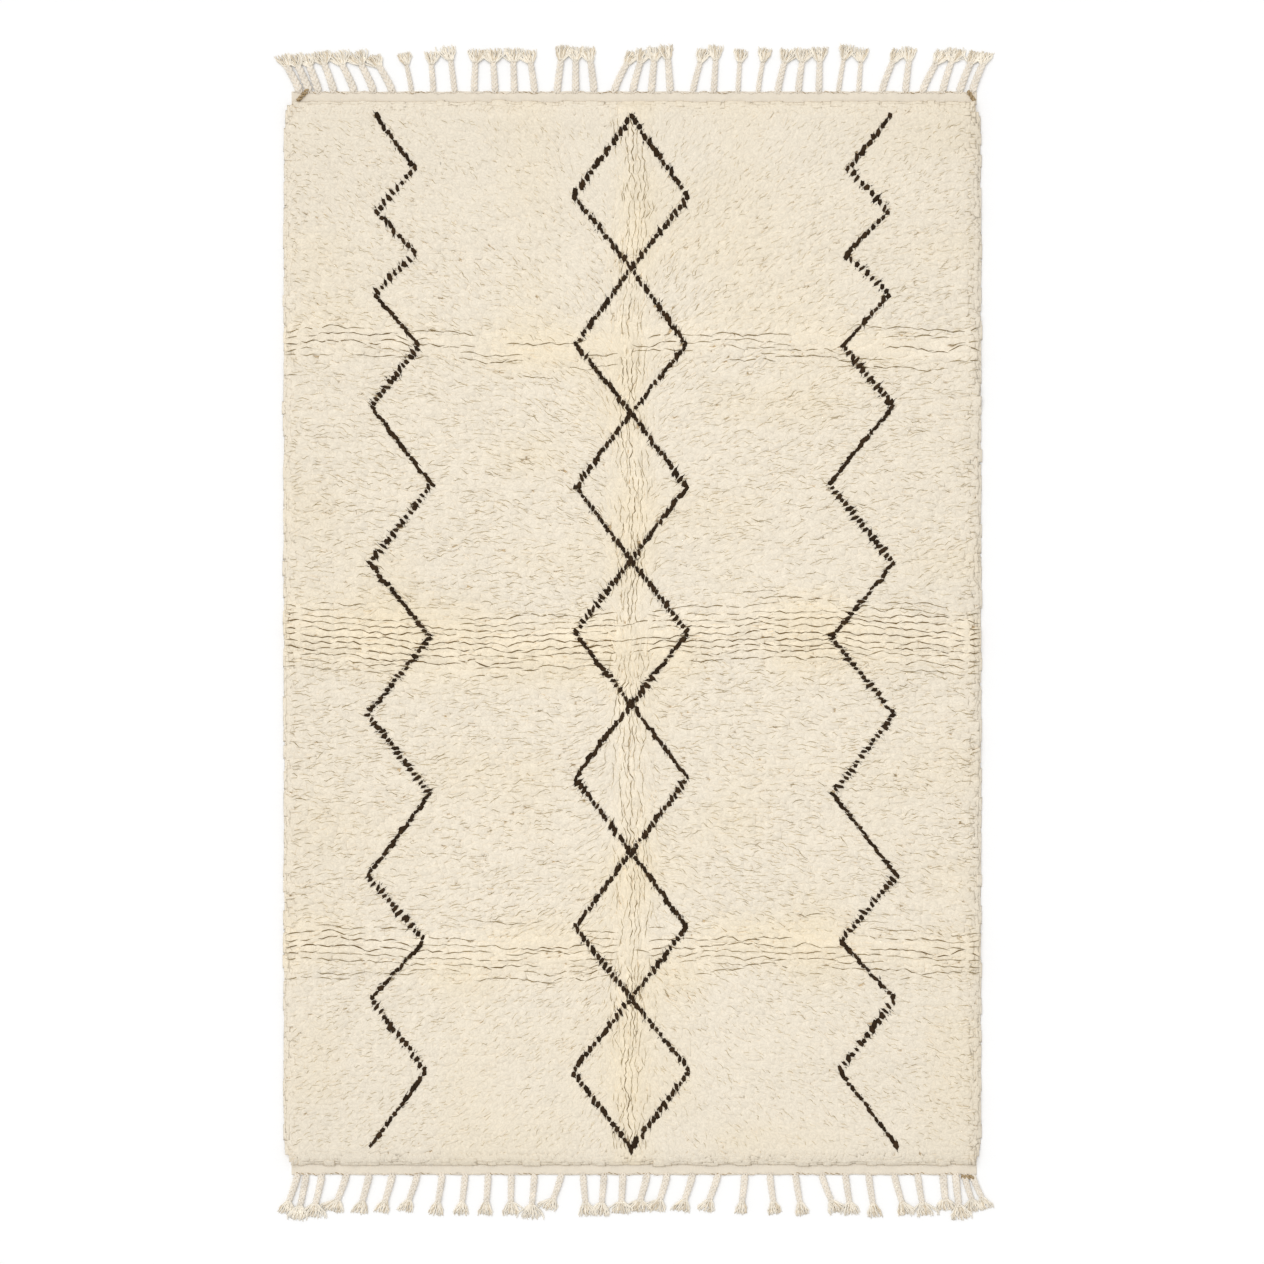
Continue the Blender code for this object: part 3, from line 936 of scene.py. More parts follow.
def plant_locks(name, tree, root_x, root_y, facts):
    """A piece with a lock on each of these places, each with its own facts."""
    count = len(root_x)
    mesh = bpy.data.meshes.new(name + "_knots")
    mesh.vertices.add(count)
    places = np.stack([root_x, root_y, np.full(count, GROUND_TOP)], axis=1)
    mesh.vertices.foreach_set("co", places.astype(np.float32).ravel())
    for label, data_type, field in FACTS:
        attribute = mesh.attributes.new(label, data_type, "POINT")
        attribute.data.foreach_set(field, facts[label].ravel())
    knots = bpy.data.objects.new(mesh.name, mesh)
    scene.collection.objects.link(knots)
    knots.modifiers.new("plant", "NODES").node_group = tree
    graph = bpy.context.evaluated_depsgraph_get()
    planted = bpy.data.meshes.new_from_object(knots.evaluated_get(graph))
    planted.name = name
    for label in ("kind", "turn", "size", "lean"):
        if label in planted.attributes:
            planted.attributes.remove(planted.attributes[label])
    bpy.data.objects.remove(knots)
    piece = bpy.data.objects.new(name, planted)
    scene.collection.objects.link(piece)
    print(f"{name}: {count} planted, {triangles(piece)} triangles")
    return piece


# %% [markdown]
# At the rim the locks fan out. Each is turned over as a whole, so that its dome follows the
# rounded edge of the pile. The turn is a small rotation matrix, read back as three angles.

# %% Fanning out
def splayed(facing, out_x, out_y, height):
    """The rotation of locks whose tips go out by this much, and their length to get there."""
    out = np.hypot(out_x, out_y)
    lean_x = np.divide(out_x, out, out=np.zeros(KNOTS), where=out > 0)
    lean_y = np.divide(out_y, out, out=np.zeros(KNOTS), where=out > 0)
    length = np.hypot(out, height)
    tilt = np.arctan2(out, height)
    cos, sin = np.cos(facing), np.sin(facing)
    fold = 1 - np.cos(tilt)
    about_x = np.arctan2(np.sin(tilt) * (lean_x * sin - lean_y * cos), np.cos(tilt))
    about_y = np.arcsin(np.sin(tilt) * (lean_x * cos + lean_y * sin))
    about_z = np.arctan2(
        sin - fold * lean_y * (lean_x * cos + lean_y * sin),
        cos - fold * lean_x * (lean_x * cos + lean_y * sin),
    )
    return np.stack([about_x, about_y, about_z], axis=1), length


# %% [markdown]
# The locks overlap so much that the rows of knots hardly show. About one in seventeen is
# *proud*: narrower and a millimetre higher, so that its sides draw a fine stroke on the
# pile. Beside the long edges the tips lie lower, so that the pile rounds off. The outermost
# locks are all equally wide, and any other is cut short where it would reach past the rim.

# %% The size of each lock
HALF_LENGTH_IN_ROWS = 0.0175
HALF_LENGTH_IN_COLUMNS = 0.0215
HALF_WIDTH_IN_ROWS = 0.0160
HALF_WIDTH_IN_COLUMNS = 0.0125
CORNER_SHARE = 1.3
LENGTH_SPREAD = 0.25
RIM_LENGTH_CALM = 0.7
HEIGHT_UNREST = 0.0004
CALM_LESS = 0.6
PROUD_SHARE = 0.06
PROUD_RISE = 0.0012
PROUD_HALF_WIDTH = 0.0042
PROUD_WIDTHS = (0.7, 1.3)
PROUD_LONGER = 1.1
RIM_HALF_WIDTH = 0.0125
RIM_ROOM = {"aside": 0.006, "ahead": -0.001}
LEAST_HALF_LENGTH = 0.008
LEAST_SHARE = 0.1
SIDE_DROP = 0.0040
DROP_WIDTH = 0.050


def rim_drop(side_distance, end_distance):
    """How much lower the tips lie beside the long edges, away from the corners."""
    beside = np.clip(1 - side_distance / DROP_WIDTH, 0, 1) ** 2
    return SIDE_DROP * beside * np.clip(end_distance / DROP_WIDTH, 0, 1)


kind = rng.integers(0, LOCK_KINDS, KNOTS).astype(np.int32)
facing = lie + math.pi * rng.integers(0, 2, KNOTS)
calm = soft_step(np.abs(knot_y), QUIET_FROM, QUIET_TO)
even = 1 - CALM_LESS * calm
at_rim = end_row | side_column
proud = (rng.random(KNOTS) < PROUD_SHARE) & ~at_rim
height = top - GROUND_TOP + rng.normal(size=KNOTS) * HEIGHT_UNREST * even + proud * PROUD_RISE
height -= rim_drop(from_side, from_end)
turn, height = splayed(facing, splay_x, splay_y, height)
half_width = HALF_WIDTH_IN_ROWS * along_rows + HALF_WIDTH_IN_COLUMNS * along_columns
half_width -= CORNER_SHARE * (DRAW_IN_ROWS * (above + below) + DRAW_IN_COLUMNS * (left + right)) / 2
half_width = np.where(proud, PROUD_HALF_WIDTH * rng.uniform(*PROUD_WIDTHS, KNOTS), half_width)
half_width = np.where(at_rim, RIM_HALF_WIDTH, half_width)
half_length = HALF_LENGTH_IN_ROWS * along_rows + HALF_LENGTH_IN_COLUMNS * along_columns
half_length *= np.where(proud, PROUD_LONGER, 1)
half_length *= 1 + LENGTH_SPREAD * rng.uniform(-1, 1, KNOTS) * (1 - RIM_LENGTH_CALM * rim_side)
cos_lie, sin_lie = np.abs(np.cos(lie)), np.abs(np.sin(lie))
room_aside = from_side + RIM_ROOM["aside"] - half_width * sin_lie
room_ahead = from_end + RIM_ROOM["ahead"] - half_width * cos_lie
room = np.minimum(
    room_aside / np.maximum(cos_lie, LEAST_SHARE), room_ahead / np.maximum(sin_lie, LEAST_SHARE),
)
room = np.where(at_rim, 1, room)
half_length = np.minimum(half_length, np.maximum(room, LEAST_HALF_LENGTH))
size = np.stack([half_length, half_width, height], axis=1)
print(f"{proud.sum()} proud locks, a lock is {2000 * half_length.mean():.0f} mm long "
      f"and {2000 * half_width.mean():.0f} mm wide on average")

# %% [markdown]
# Each lock has a shade of its own. On top of that comes painted light: the middle of the rug
# is a touch lighter than its sides and its ends. Light and dark streaks follow the lie of the
# wool, faint everywhere; in the folds they are strong and the wool is lighter, as painted
# highlight and shade on the ridges. There the wool has also aged, in bands wider than the folds.

# %% The shade of each lock
LOCK_SHADE = 0.08
RIM_SHADE_SHARE = 0.3
SHADE_DRIFT = 0.02
MIDDLE_PAINTED_LIGHT = 0.07
SIDES_PAINTED_SHADE = 0.08
ENDS_PAINTED_SHADE = 0.09
FOLD_PAINTED_HIGHLIGHT = 0.18
STREAK_SHADE = 0.04
FOLD_PAINTED_STREAKS = 0.17
WARMTH = 0.70
WARM_DRIFT = 0.50
AGED_SPREAD = {"across": 1.5, "along": 2.0}

shade = rng.uniform(-LOCK_SHADE, LOCK_SHADE, KNOTS) * even * np.where(at_rim, RIM_SHADE_SHARE, 1)
shade += SHADE_DRIFT * drift(knot_x, knot_y, (0.20, 0.20), 41)
# Painted light: the middle is lighter, and painted shade dulls the sides and the ends.
shade += MIDDLE_PAINTED_LIGHT - SIDES_PAINTED_SHADE * (2 * np.abs(knot_x) / PILE_WIDTH) ** 2
shade -= ENDS_PAINTED_SHADE * (2 * np.abs(knot_y) / PILE_LENGTH) ** 4
streaks = along_rows * drift(knot_x, knot_y, (0.050, 0.008), 43)
streaks += along_columns * drift(knot_x, knot_y, (0.008, 0.050), 44)
# Painted highlight on the folds' ridges, with painted light and dark streaks along them.
shade += FOLD_PAINTED_HIGHLIGHT * np.clip(folded, 0, 1)
shade += streaks * (STREAK_SHADE + FOLD_PAINTED_STREAKS * np.clip(folded, 0, 1))
aged = np.maximum(*(fold_share(runs, knot_x, knot_y, AGED_SPREAD[runs]) for runs in ("across", "along")))
warm = WARMTH * np.clip(aged + WARM_DRIFT * drift(knot_x, knot_y, (0.16, 0.12), 42), 0, 1)
print(f"shade {shade.min():.2f} to {shade.max():.2f}, warmth up to {warm.max():.2f}")

# %% [markdown]
# The cream pile is planted in five pieces, strips across the rug, so that none has too many
# triangles.

# %% The cream pile
PILE_PIECES = 5

cream_tree = planting_tree(kinds_of("cream_locks", CREAM_PILE, lock_bmesh, sides=4, ragged=0.14, hairs=0))
dark_tree = planting_tree(kinds_of("dark_locks", DARK_PILE, lock_bmesh, sides=5, ragged=0.34, hairs=3))
strip_of = row * PILE_PIECES // ROWS
lean = np.stack([tip_x, tip_y, np.zeros(KNOTS)], axis=1)
cream = {"kind": kind, "turn": turn, "size": size, "lean": lean, "shade": shade, "warm": warm}
for number in range(PILE_PIECES):
    chosen = (strip_of == number) & ~is_dark
    facts = {label: values[chosen] for label, values in cream.items()}
    piece = plant_locks(f"pile_{number + 1}", cream_tree, knot_x[chosen], knot_y[chosen], facts)
    declare(piece, "pile_field")

# %% [markdown]
# The dark tufts are shorter and narrower than the cream ones, and they all point away from
# one place near the middle of the rug. So a line that runs across their direction looks
# toothed, and one that runs with it looks smooth. They rise a few millimetres out of the
# cream pile, or it would swallow them.

# %% Dark tufts
DARK_HALF_LENGTH = (0.0098, 0.0102)
DARK_HALF_WIDTH = (0.0056, 0.0064)
DARK_LENGTHS = (0.65, 1.30)
DARK_WIDTHS = (0.80, 1.20)
DARK_LIE_UNREST = 0.25
DARK_RISE = 0.0026
DARK_SHADE = 0.5

tufts = len(dark_at)
dark_x = dark_at[:, 0] + DARK_UNREST * rng.normal(size=tufts)
dark_y = dark_at[:, 1] + DARK_UNREST * rng.normal(size=tufts)
near_end = soft_step(np.abs(dark_y), ENDS_FROM, ENDS_TO)
dark_aside = dark_x - CENTRE_LINE
dark_lie = np.arctan2(dark_y - STILL_LINE, np.abs(dark_aside)) * np.sign(dark_aside + 1e-9)
dark_lie += DARK_LIE_UNREST * rng.normal(size=tufts)
dark_top = np.array([solid_height(x, y) for x, y in zip(dark_x, dark_y)])
dark_length = DARK_HALF_LENGTH[0] * (1 - near_end) + DARK_HALF_LENGTH[1] * near_end
dark_width = DARK_HALF_WIDTH[0] * (1 - near_end) + DARK_HALF_WIDTH[1] * near_end
dark_facts = {
    "kind": rng.integers(0, LOCK_KINDS, tufts).astype(np.int32),
    "turn": np.stack([np.zeros(tufts), np.zeros(tufts), dark_lie], axis=1),
    "size": np.stack([
        dark_length * rng.uniform(*DARK_LENGTHS, tufts), dark_width * rng.uniform(*DARK_WIDTHS, tufts),
        dark_top - GROUND_TOP + DARK_RISE,
    ], axis=1),
    "lean": np.zeros((tufts, 3)),
    "shade": rng.uniform(-DARK_SHADE, DARK_SHADE, tufts),
    "warm": np.zeros(tufts),
}
dark_pile = plant_locks("pile_dark", dark_tree, dark_x, dark_y, dark_facts)
declare(dark_pile, "pile_field")

# %% [markdown]
# ## Painted crease shade
#
# The thin creases of the pile are painted: a thin brownish strand, two or three centimetres
# long, which follows the lie of the pile, is painted shade where a crease shows dark. A
# strand is made as a three-sided spindle, a cone operator's tube with both ends merged to a
# point, and bent in a wave. It lies in the tips, and is planted in the same way as the locks.

# %% Strand shapes
STRAND_STEPS = 3
LINE_STRAND_WAVE = 0.42
CHAIN_STRAND_WAVE = 0.22
STRAND_WIDE = 0.115
STRAND_HIGH = 0.036


def strand_bmesh(chance, wave):
    """A thin wavy strand, 2 long and 1 above its place, pointed at both ends."""
    bm = bmesh.new()
    up = bm.verts.layers.float.new("up")
    bmesh.ops.create_cone(bm, segments=3, radius1=1, radius2=1, depth=2)
    sides = [edge for edge in bm.edges if abs(edge.verts[0].co.z - edge.verts[1].co.z) > 1]
    bmesh.ops.subdivide_edges(bm, edges=sides, cuts=STRAND_STEPS - 1)
    for tip in (-1, 1):
        ring = [vert for vert in bm.verts if vert.co.z * tip > 0.99]
        bmesh.ops.pointmerge(bm, verts=ring, merge_co=(0, 0, tip))
    phase = chance.uniform(0, math.tau)
    bends = chance.uniform(1.5, 3.5)
    for vert in bm.verts:
        along = vert.co.z
        aside = wave * math.sin(phase + bends * along) + STRAND_WIDE * vert.co.x
        vert.co = (along, aside, 1 + STRAND_HIGH * vert.co.y)
        vert[up] = 1
    bmesh.ops.recalc_face_normals(bm, faces=bm.faces)
    return bm


# %% [markdown]
# Over the open pile the painted crease lines are faint, less than a centimetre apart, and
# broken by gaps. They are strongest in the middle of the rug and faintest at its quiet ends,
# and they stay off the folds, which have lines of their own.

# %% Lines over the open pile
LINE_PITCH = 0.0078
LINE_STEP = 0.024
LINE_UNREST = (0.35, 0.2)
LINE_WAVE = 0.0055
LINE_LIE_DRIFT = 0.30
LINE_LIE_UNREST = 0.12
LINE_GAPS = -0.10
LINE_GAPS_QUIET = 0.25
GAP_SHARES = (0.5, 0.6)
LINE_HALF_LENGTH = (0.0080, 0.0180)
END_SHORTER = 0.40
LINE_STRENGTH = 0.14
MIDDLE_STRONGER = 0.11
QUIET_WEAKER = 0.06
STRENGTH_DRIFT = 0.07
STRENGTH_UNREST = 0.10
LINE_MIDDLE = (0.25, 0.85)
LINE_QUIET = (0.75, 1.10)
LINE_QUIET_ASIDE = (0.35, 0.60)
LINE_SHORTER_FROM = (0.5, 1.0)
FOLD_LIMIT = 0.36
CENTRE_LIMIT = 0.6
EDGE_MARGIN = 0.010
END_MARGIN = 0.038


def on_pile(x, y):
    """Whether a place lies on the pile, clear of its rim."""
    across = np.abs(x - PILE_MIDDLE[0]) < PILE_WIDTH / 2 - EDGE_MARGIN
    return across & (np.abs(y - PILE_MIDDLE[1]) < PILE_LENGTH / 2 - END_MARGIN)


def line_places():
    """Where these strands lie: x, y, direction, strength and half length of each."""
    x, row_y = np.meshgrid(
        np.arange(-PILE_WIDTH / 2, PILE_WIDTH / 2, LINE_STEP),
        np.arange(-PILE_LENGTH / 2, PILE_LENGTH / 2, LINE_PITCH),
    )
    step_unrest, pitch_unrest = LINE_UNREST
    x = PILE_MIDDLE[0] + x.ravel() + LINE_STEP * rng.uniform(-step_unrest, step_unrest, x.size)
    row_y = PILE_MIDDLE[1] + row_y.ravel()
    row_y = row_y + LINE_PITCH * rng.uniform(-pitch_unrest, pitch_unrest, x.size)

    def wave(at):
        return LINE_WAVE * drift(at, row_y, (0.050, 0.022), 74)

    y = row_y + wave(x)
    slope = (wave(x + LINE_STEP / 4) - wave(x - LINE_STEP / 4)) / (LINE_STEP / 2)
    way = common_lie(x, y) + np.arctan(slope) + LINE_LIE_DRIFT * drift(x, y, (0.045, 0.045), 33)
    way += LINE_LIE_UNREST * rng.normal(size=x.size)
    middle = 1 - soft_step(np.abs(y - STILL_LINE), *LINE_MIDDLE)
    quiet = soft_step(np.abs(y), *LINE_QUIET) * (1 - soft_step(np.abs(x), *LINE_QUIET_ASIDE))
    # strength: how dark the painted crease shade of each line is
    strength = LINE_STRENGTH + MIDDLE_STRONGER * middle - QUIET_WEAKER * quiet
    strength += STRENGTH_DRIFT * drift(x, y, (0.14, 0.05), 76)
    strength += STRENGTH_UNREST * rng.normal(size=x.size)
    patches, unrest_here = GAP_SHARES
    kept = patches * drift(x, row_y, (0.11, 0.013), 75) + unrest_here * rng.uniform(-1, 1, x.size)
    kept = kept > LINE_GAPS + LINE_GAPS_QUIET * quiet
    folds = np.maximum(fold_share("across", x, y), fold_share("along", x, y))
    kept &= on_pile(x, y) & (folds < FOLD_LIMIT) & (np.abs(x - CENTRE_LINE) > CENTRE_FADE * CENTRE_LIMIT)
    length = rng.uniform(*LINE_HALF_LENGTH, x.size)
    length *= 1 - END_SHORTER * soft_step(np.abs(y), *LINE_SHORTER_FROM)
    return x[kept], y[kept], way[kept], np.clip(strength, 0, 1)[kept], length[kept]


# %% [markdown]
# Where the rug was folded the painted crease lines run on, strand after strand: from side to
# side along the cross folds, about a centimetre and a half apart, and in shorter, more bent
# pieces down the lengthwise fold. Each fold's lines are whole in its middle and broken beside
# it, and they fade where another fold crosses.

# %% Lines along the folds
CHAIN_REACH = 1.25
CHAIN_PITCH = {"across": 0.0148, "along": 0.0100}
CHAIN_STEP = {"across": 0.036, "along": 0.021}
CHAIN_WAVE = {"across": 0.0060, "along": 0.0065}
CHAIN_BENDS = {"across": (0.045, 0.020), "along": (0.026, 0.012)}
CHAIN_GAPS = {"across": (0.120, 0.012), "along": (0.040, 0.010)}
CHAIN_GAP_SHARE = 0.40
CHAIN_FADE = 1.1
CHAIN_FROM = {"across": 0.42, "along": 0.28}
CHAIN_STRENGTH = {"across": 0.64, "along": 0.24}
CHAIN_GROWTH = 0.75
CHAIN_OVERLAP = 0.60
CROSSING_LESS = 0.9
CROSSING_SPREAD = {"across": 0.9, "along": 0.5}
SIDES_MORE = 0.18


def chain_places(fold):
    """Where the strands of one fold lie, as for the other lines."""
    reach = PILE_WIDTH / 2 - EDGE_MARGIN if fold.runs == "across" else PILE_LENGTH / 2 - END_MARGIN
    wide = fold.half_width * CHAIN_REACH
    step = CHAIN_STEP[fold.runs]
    lines = np.arange(-wide, wide, CHAIN_PITCH[fold.runs])
    off, along = (grid.ravel() for grid in np.meshgrid(lines, np.arange(-reach, reach, step)))

    def place(at):
        line = fold.place + fold.wander * np.sin(math.tau * at / fold.wander_length)
        return line + off + CHAIN_WAVE[fold.runs] * drift(at, off, CHAIN_BENDS[fold.runs], 72)

    slope = (place(along + step / 4) - place(along - step / 4)) / (step / 2)
    share = fold.strength * (CHAIN_FADE - CHAIN_FADE * np.abs(off) / wide)
    across = place(along)
    x, y = (along, across) if fold.runs == "across" else (across, along)
    other_way = "along" if fold.runs == "across" else "across"
    share -= CROSSING_LESS * fold_share(other_way, x, y, CROSSING_SPREAD[fold.runs])
    if fold.runs == "across":
        share += SIDES_MORE * np.abs(x) / (PILE_WIDTH / 2)
    share += CHAIN_GAP_SHARE * drift(along, off, CHAIN_GAPS[fold.runs], 73)
    kept = share > CHAIN_FROM[fold.runs]
    way = np.arctan(slope) if fold.runs == "across" else math.pi / 2 - np.arctan(slope)
    # strength: how dark the painted shade of each fold line is
    strength = CHAIN_STRENGTH[fold.runs] + CHAIN_GROWTH * (share - CHAIN_FROM[fold.runs])
    length = np.full(kept.sum(), step * CHAIN_OVERLAP)
    return x[kept], y[kept], way[kept], np.clip(strength, 0, 1)[kept], length


# %% [markdown]
# A stronger strand is wider and browner: darker painted shade. It lies level with the tips or
# just above them, so that most of it shows, and the locks cover the rest here and there.

# %% Strands
STRAND_SPREAD = 0.0088
STRAND_WIDTH = (0.35, 1.10)
STRAND_WIDTHS = (0.8, 1.2)
STRAND_SHADE = 0.5
LINE_RISE = 0.0
CHAIN_RISE = 0.0003

spots = [line_places()] + [chain_places(fold) for fold in FOLDS]
strand_x, strand_y, strand_way, strength, half = (np.concatenate(values) for values in zip(*spots))
strands = len(strand_x)
in_chain = np.arange(strands) >= len(spots[0][0])
strand_top = np.array([solid_height(x, y) for x, y in zip(strand_x, strand_y)])
faintest, growth = STRAND_WIDTH
# `warm` carries each strand's strength: how brown its painted crease shade is
strand_facts = {
    "kind": rng.integers(0, LOCK_KINDS, strands).astype(np.int32),
    "turn": np.stack([np.zeros(strands), np.zeros(strands), strand_way], axis=1),
    "size": np.stack([
        half,
        STRAND_SPREAD * (faintest + growth * strength) * rng.uniform(*STRAND_WIDTHS, strands),
        strand_top - GROUND_TOP + np.where(in_chain, CHAIN_RISE, LINE_RISE),
    ], axis=1),
    "lean": np.zeros((strands, 3)),
    "shade": rng.uniform(-STRAND_SHADE, STRAND_SHADE, strands),
    "warm": strength,
}
for name, chosen, wave in (
    ("pile_lines", ~in_chain, LINE_STRAND_WAVE), ("pile_fold_lines", in_chain, CHAIN_STRAND_WAVE),
):
    tree = planting_tree(kinds_of(name + "_strands", PAINTED_CREASE_WOOL, strand_bmesh, wave=wave))
    facts = {label: values[chosen] for label, values in strand_facts.items()}
    declare(plant_locks(name, tree, strand_x[chosen], strand_y[chosen], facts), "pile_field")

# %% [markdown]
# ## The packed wool
#
# Below their tips the tufts press against each other, so a crease is only a few millimetres
# deep: at its bottom lies packed wool, painted darker and browner as shade. One closed form
# stands for it: a grid that is extruded upwards from the weave and follows the pile at about
# four fifths of its height.

# %% The packed wool
PACKED_SHARE = 0.83
PACKED_MARGIN = 0.007
PACKED_END_MARGIN = 0.012
PACKED_COLUMNS = 56
PACKED_ROWS = 96
PACKED_BOTTOM = GROUND_TOP + 0.001

bm = bmesh.new()
bmesh.ops.create_grid(bm, x_segments=PACKED_COLUMNS, y_segments=PACKED_ROWS, size=1)
packed_top = set(new_verts(bmesh.ops.extrude_face_region(bm, geom=bm.faces[:])))
for vert in bm.verts:
    from_end_here = (1 - abs(vert.co.y)) * PILE_LENGTH / 2
    inset = PACKED_MARGIN + CORNER_INSET * max(0, 1 - from_end_here / CORNER_LENGTH) ** 2
    vert.co.x = PILE_MIDDLE[0] + vert.co.x * (PILE_WIDTH / 2 - inset)
    vert.co.y = PILE_MIDDLE[1] + vert.co.y * (PILE_LENGTH / 2 - PACKED_END_MARGIN)
    vert.co.z = PACKED_BOTTOM
    if vert in packed_top:
        vert.co.z = GROUND_TOP + PACKED_SHARE * (solid_height(vert.co.x, vert.co.y) - GROUND_TOP)
        from_side_here = PILE_WIDTH / 2 - abs(vert.co.x - PILE_MIDDLE[0])
        vert.co.z -= rim_drop(from_side_here, from_end_here)
bmesh.ops.recalc_face_normals(bm, faces=bm.faces)
for face in bm.faces:
    face.smooth = face.normal.z > 0.5
packed = declare(keep("pile_packed", bm, PACKED_PILE_SHADE), "pile_field")
print(f"packed wool: {triangles(packed)} triangles")

# %% [markdown]
# ## The ground weave
#
# Under the pile lies the weave that holds the knots: two or three wefts between each row of
# knots. On the back of the rug each row shows as a low ridge from side to side. The sheet is
# one closed form: a grid with a line of points on every ridge and in every valley, extruded
# upwards to its thickness.

# %% The ground weave
WEAVE_LOW = 0.0003
RIDGE = 0.0008
WEAVE_MARGIN = 0.004
FLAT_GROUND = (PILE_WIDTH - 2 * WEAVE_MARGIN, PILE_LENGTH)

bm = bmesh.new()
bmesh.ops.create_grid(bm, x_segments=4, y_segments=2 * ROWS, size=1)
for vert in bm.verts:
    line = round((vert.co.y + 1) * ROWS)
    from_end_here = (1 - abs(vert.co.y)) * PILE_LENGTH / 2
    inset = CORNER_INSET * max(0, 1 - from_end_here / CORNER_LENGTH) ** 2
    vert.co.x = PILE_MIDDLE[0] + vert.co.x * (FLAT_GROUND[0] / 2 - inset)
    vert.co.y = PILE_MIDDLE[1] + vert.co.y * PILE_LENGTH / 2
    vert.co.z = WEAVE_LOW + RIDGE * (1 - line % 2)
ground_top = new_verts(bmesh.ops.extrude_face_region(bm, geom=bm.faces[:]))
for vert in ground_top:
    vert.co.z = GROUND_TOP + RIDGE
bmesh.ops.recalc_face_normals(bm, faces=bm.faces)
ground = declare(keep("ground_weave", bm, WOVEN), "pile_field")
print(f"ground weave: {triangles(ground)} triangles")

# %% [markdown]
# ## The woven bands
#
# Before the first row of knots and after the last, the weaver works about 3 cm of plain
# weave. The wefts are packed so tightly that they hide the warps, which show only as fine
# ribs along the rug. Three points in each rib are enough for its round back. The outer edge
# of a band is not quite straight, so two slow waves move it.

# %% A woven band
BAND_GAP = 0.0003
BAND_LENGTH = 1.566
BAND_MIDDLE = -0.003
BAND_DEPTH = 0.030
BAND_THICKNESS = 0.0036
RIBS = 220
RIB_HEIGHT = 0.0006
LOW_RIB_SHARE = 0.55
BAND_ROWS = 8
EDGE_WAVES = ((0.0006, 17), (0.0004, 7.3))


def band_edges(side):
    inner = PILE_MIDDLE[1] + side * (PILE_LENGTH / 2 + BAND_GAP)
    return inner, inner + side * BAND_DEPTH


def woven_band(name, side):
    inner, outer = band_edges(side)
    bm = bmesh.new()
    bmesh.ops.create_grid(bm, x_segments=3 * RIBS, y_segments=BAND_ROWS, size=1)
    upper = new_verts(bmesh.ops.extrude_face_region(bm, geom=bm.faces[:]))
    is_upper = set(upper)
    for vert in bm.verts:
        point = round((vert.co.x + 1) / 2 * 3 * RIBS)
        weft = round((vert.co.y + 1) / 2 * BAND_ROWS)
        bulge = (0 if point % 3 == 0 else 1) * RIB_HEIGHT * (1.0 if weft % 2 else LOW_RIB_SHARE)
        wave = sum(size * math.sin(math.tau * point / 3 / ribs) for size, ribs in EDGE_WAVES)
        outward = max(0, vert.co.y * side)
        vert.co.x = BAND_MIDDLE + vert.co.x * BAND_LENGTH / 2
        vert.co.y = (inner + outer) / 2 + vert.co.y * BAND_DEPTH / 2 + side * wave * outward
        vert.co.z = BAND_THICKNESS - RIB_HEIGHT + bulge if vert in is_upper else WEAVE_LOW
    bmesh.ops.recalc_face_normals(bm, faces=bm.faces)
    for face in bm.faces:
        face.smooth = True
    return keep(name, bm, WOVEN)


# %% [markdown]
# ## Yarn
#
# Tassels and edge cords are yarn. A yarn is drawn as a path with a radius at each point,
# and a curve's bevel turns all paths of a piece into tubes at once. The caps come out as
# separate faces, so a merge closes each tube.

# %% Yarn helpers
def new_paths(name, sides):
    """A curve for yarn paths; its bevel is 1 wide, so a point's radius is in metres."""
    paths = bpy.data.curves.new(name, "CURVE")
    paths.dimensions = "3D"
    paths.bevel_depth = 1
    paths.bevel_resolution = {4: 0, 6: 1}[sides]
    paths.use_fill_caps = True
    return paths


def add_path(paths, points, radii):
    path = paths.splines.new("POLY")
    path.points.add(len(points) - 1)
    path.points.foreach_set("co", [value for place in points for value in (*place, 1)])
    path.points.foreach_set("radius", list(radii))


def spin(name, curves, material):
    """Makes one closed mesh piece of all the yarn paths."""
    bm = bmesh.new()
    for paths in curves:
        holder = bpy.data.objects.new(name + "_paths", paths)
        scene.collection.objects.link(holder)
        graph = bpy.context.evaluated_depsgraph_get()
        mesh = bpy.data.meshes.new_from_object(holder.evaluated_get(graph))
        bm.from_mesh(mesh)
        bpy.data.objects.remove(holder)
        bpy.data.meshes.remove(mesh)
    bmesh.ops.remove_doubles(bm, verts=bm.verts, dist=1e-6)
    bmesh.ops.recalc_face_normals(bm, faces=bm.faces)
    for face in bm.faces:
        face.smooth = True
        face.material_index = 0
    return keep(name, bm, material)


# %% [markdown]
# ## The tassels
#
# At each end the warps are gathered into flat plaits of three strands. The plaits hang
# together in clumps, so a table gives each clump's count and, for its first and its last
# tassel, where it leaves the band, where its tuft ends, and how far it reaches. A strand of
# a plait swings from side to side and passes over and under the others twice in each swing,
# a third of a turn after its neighbour.

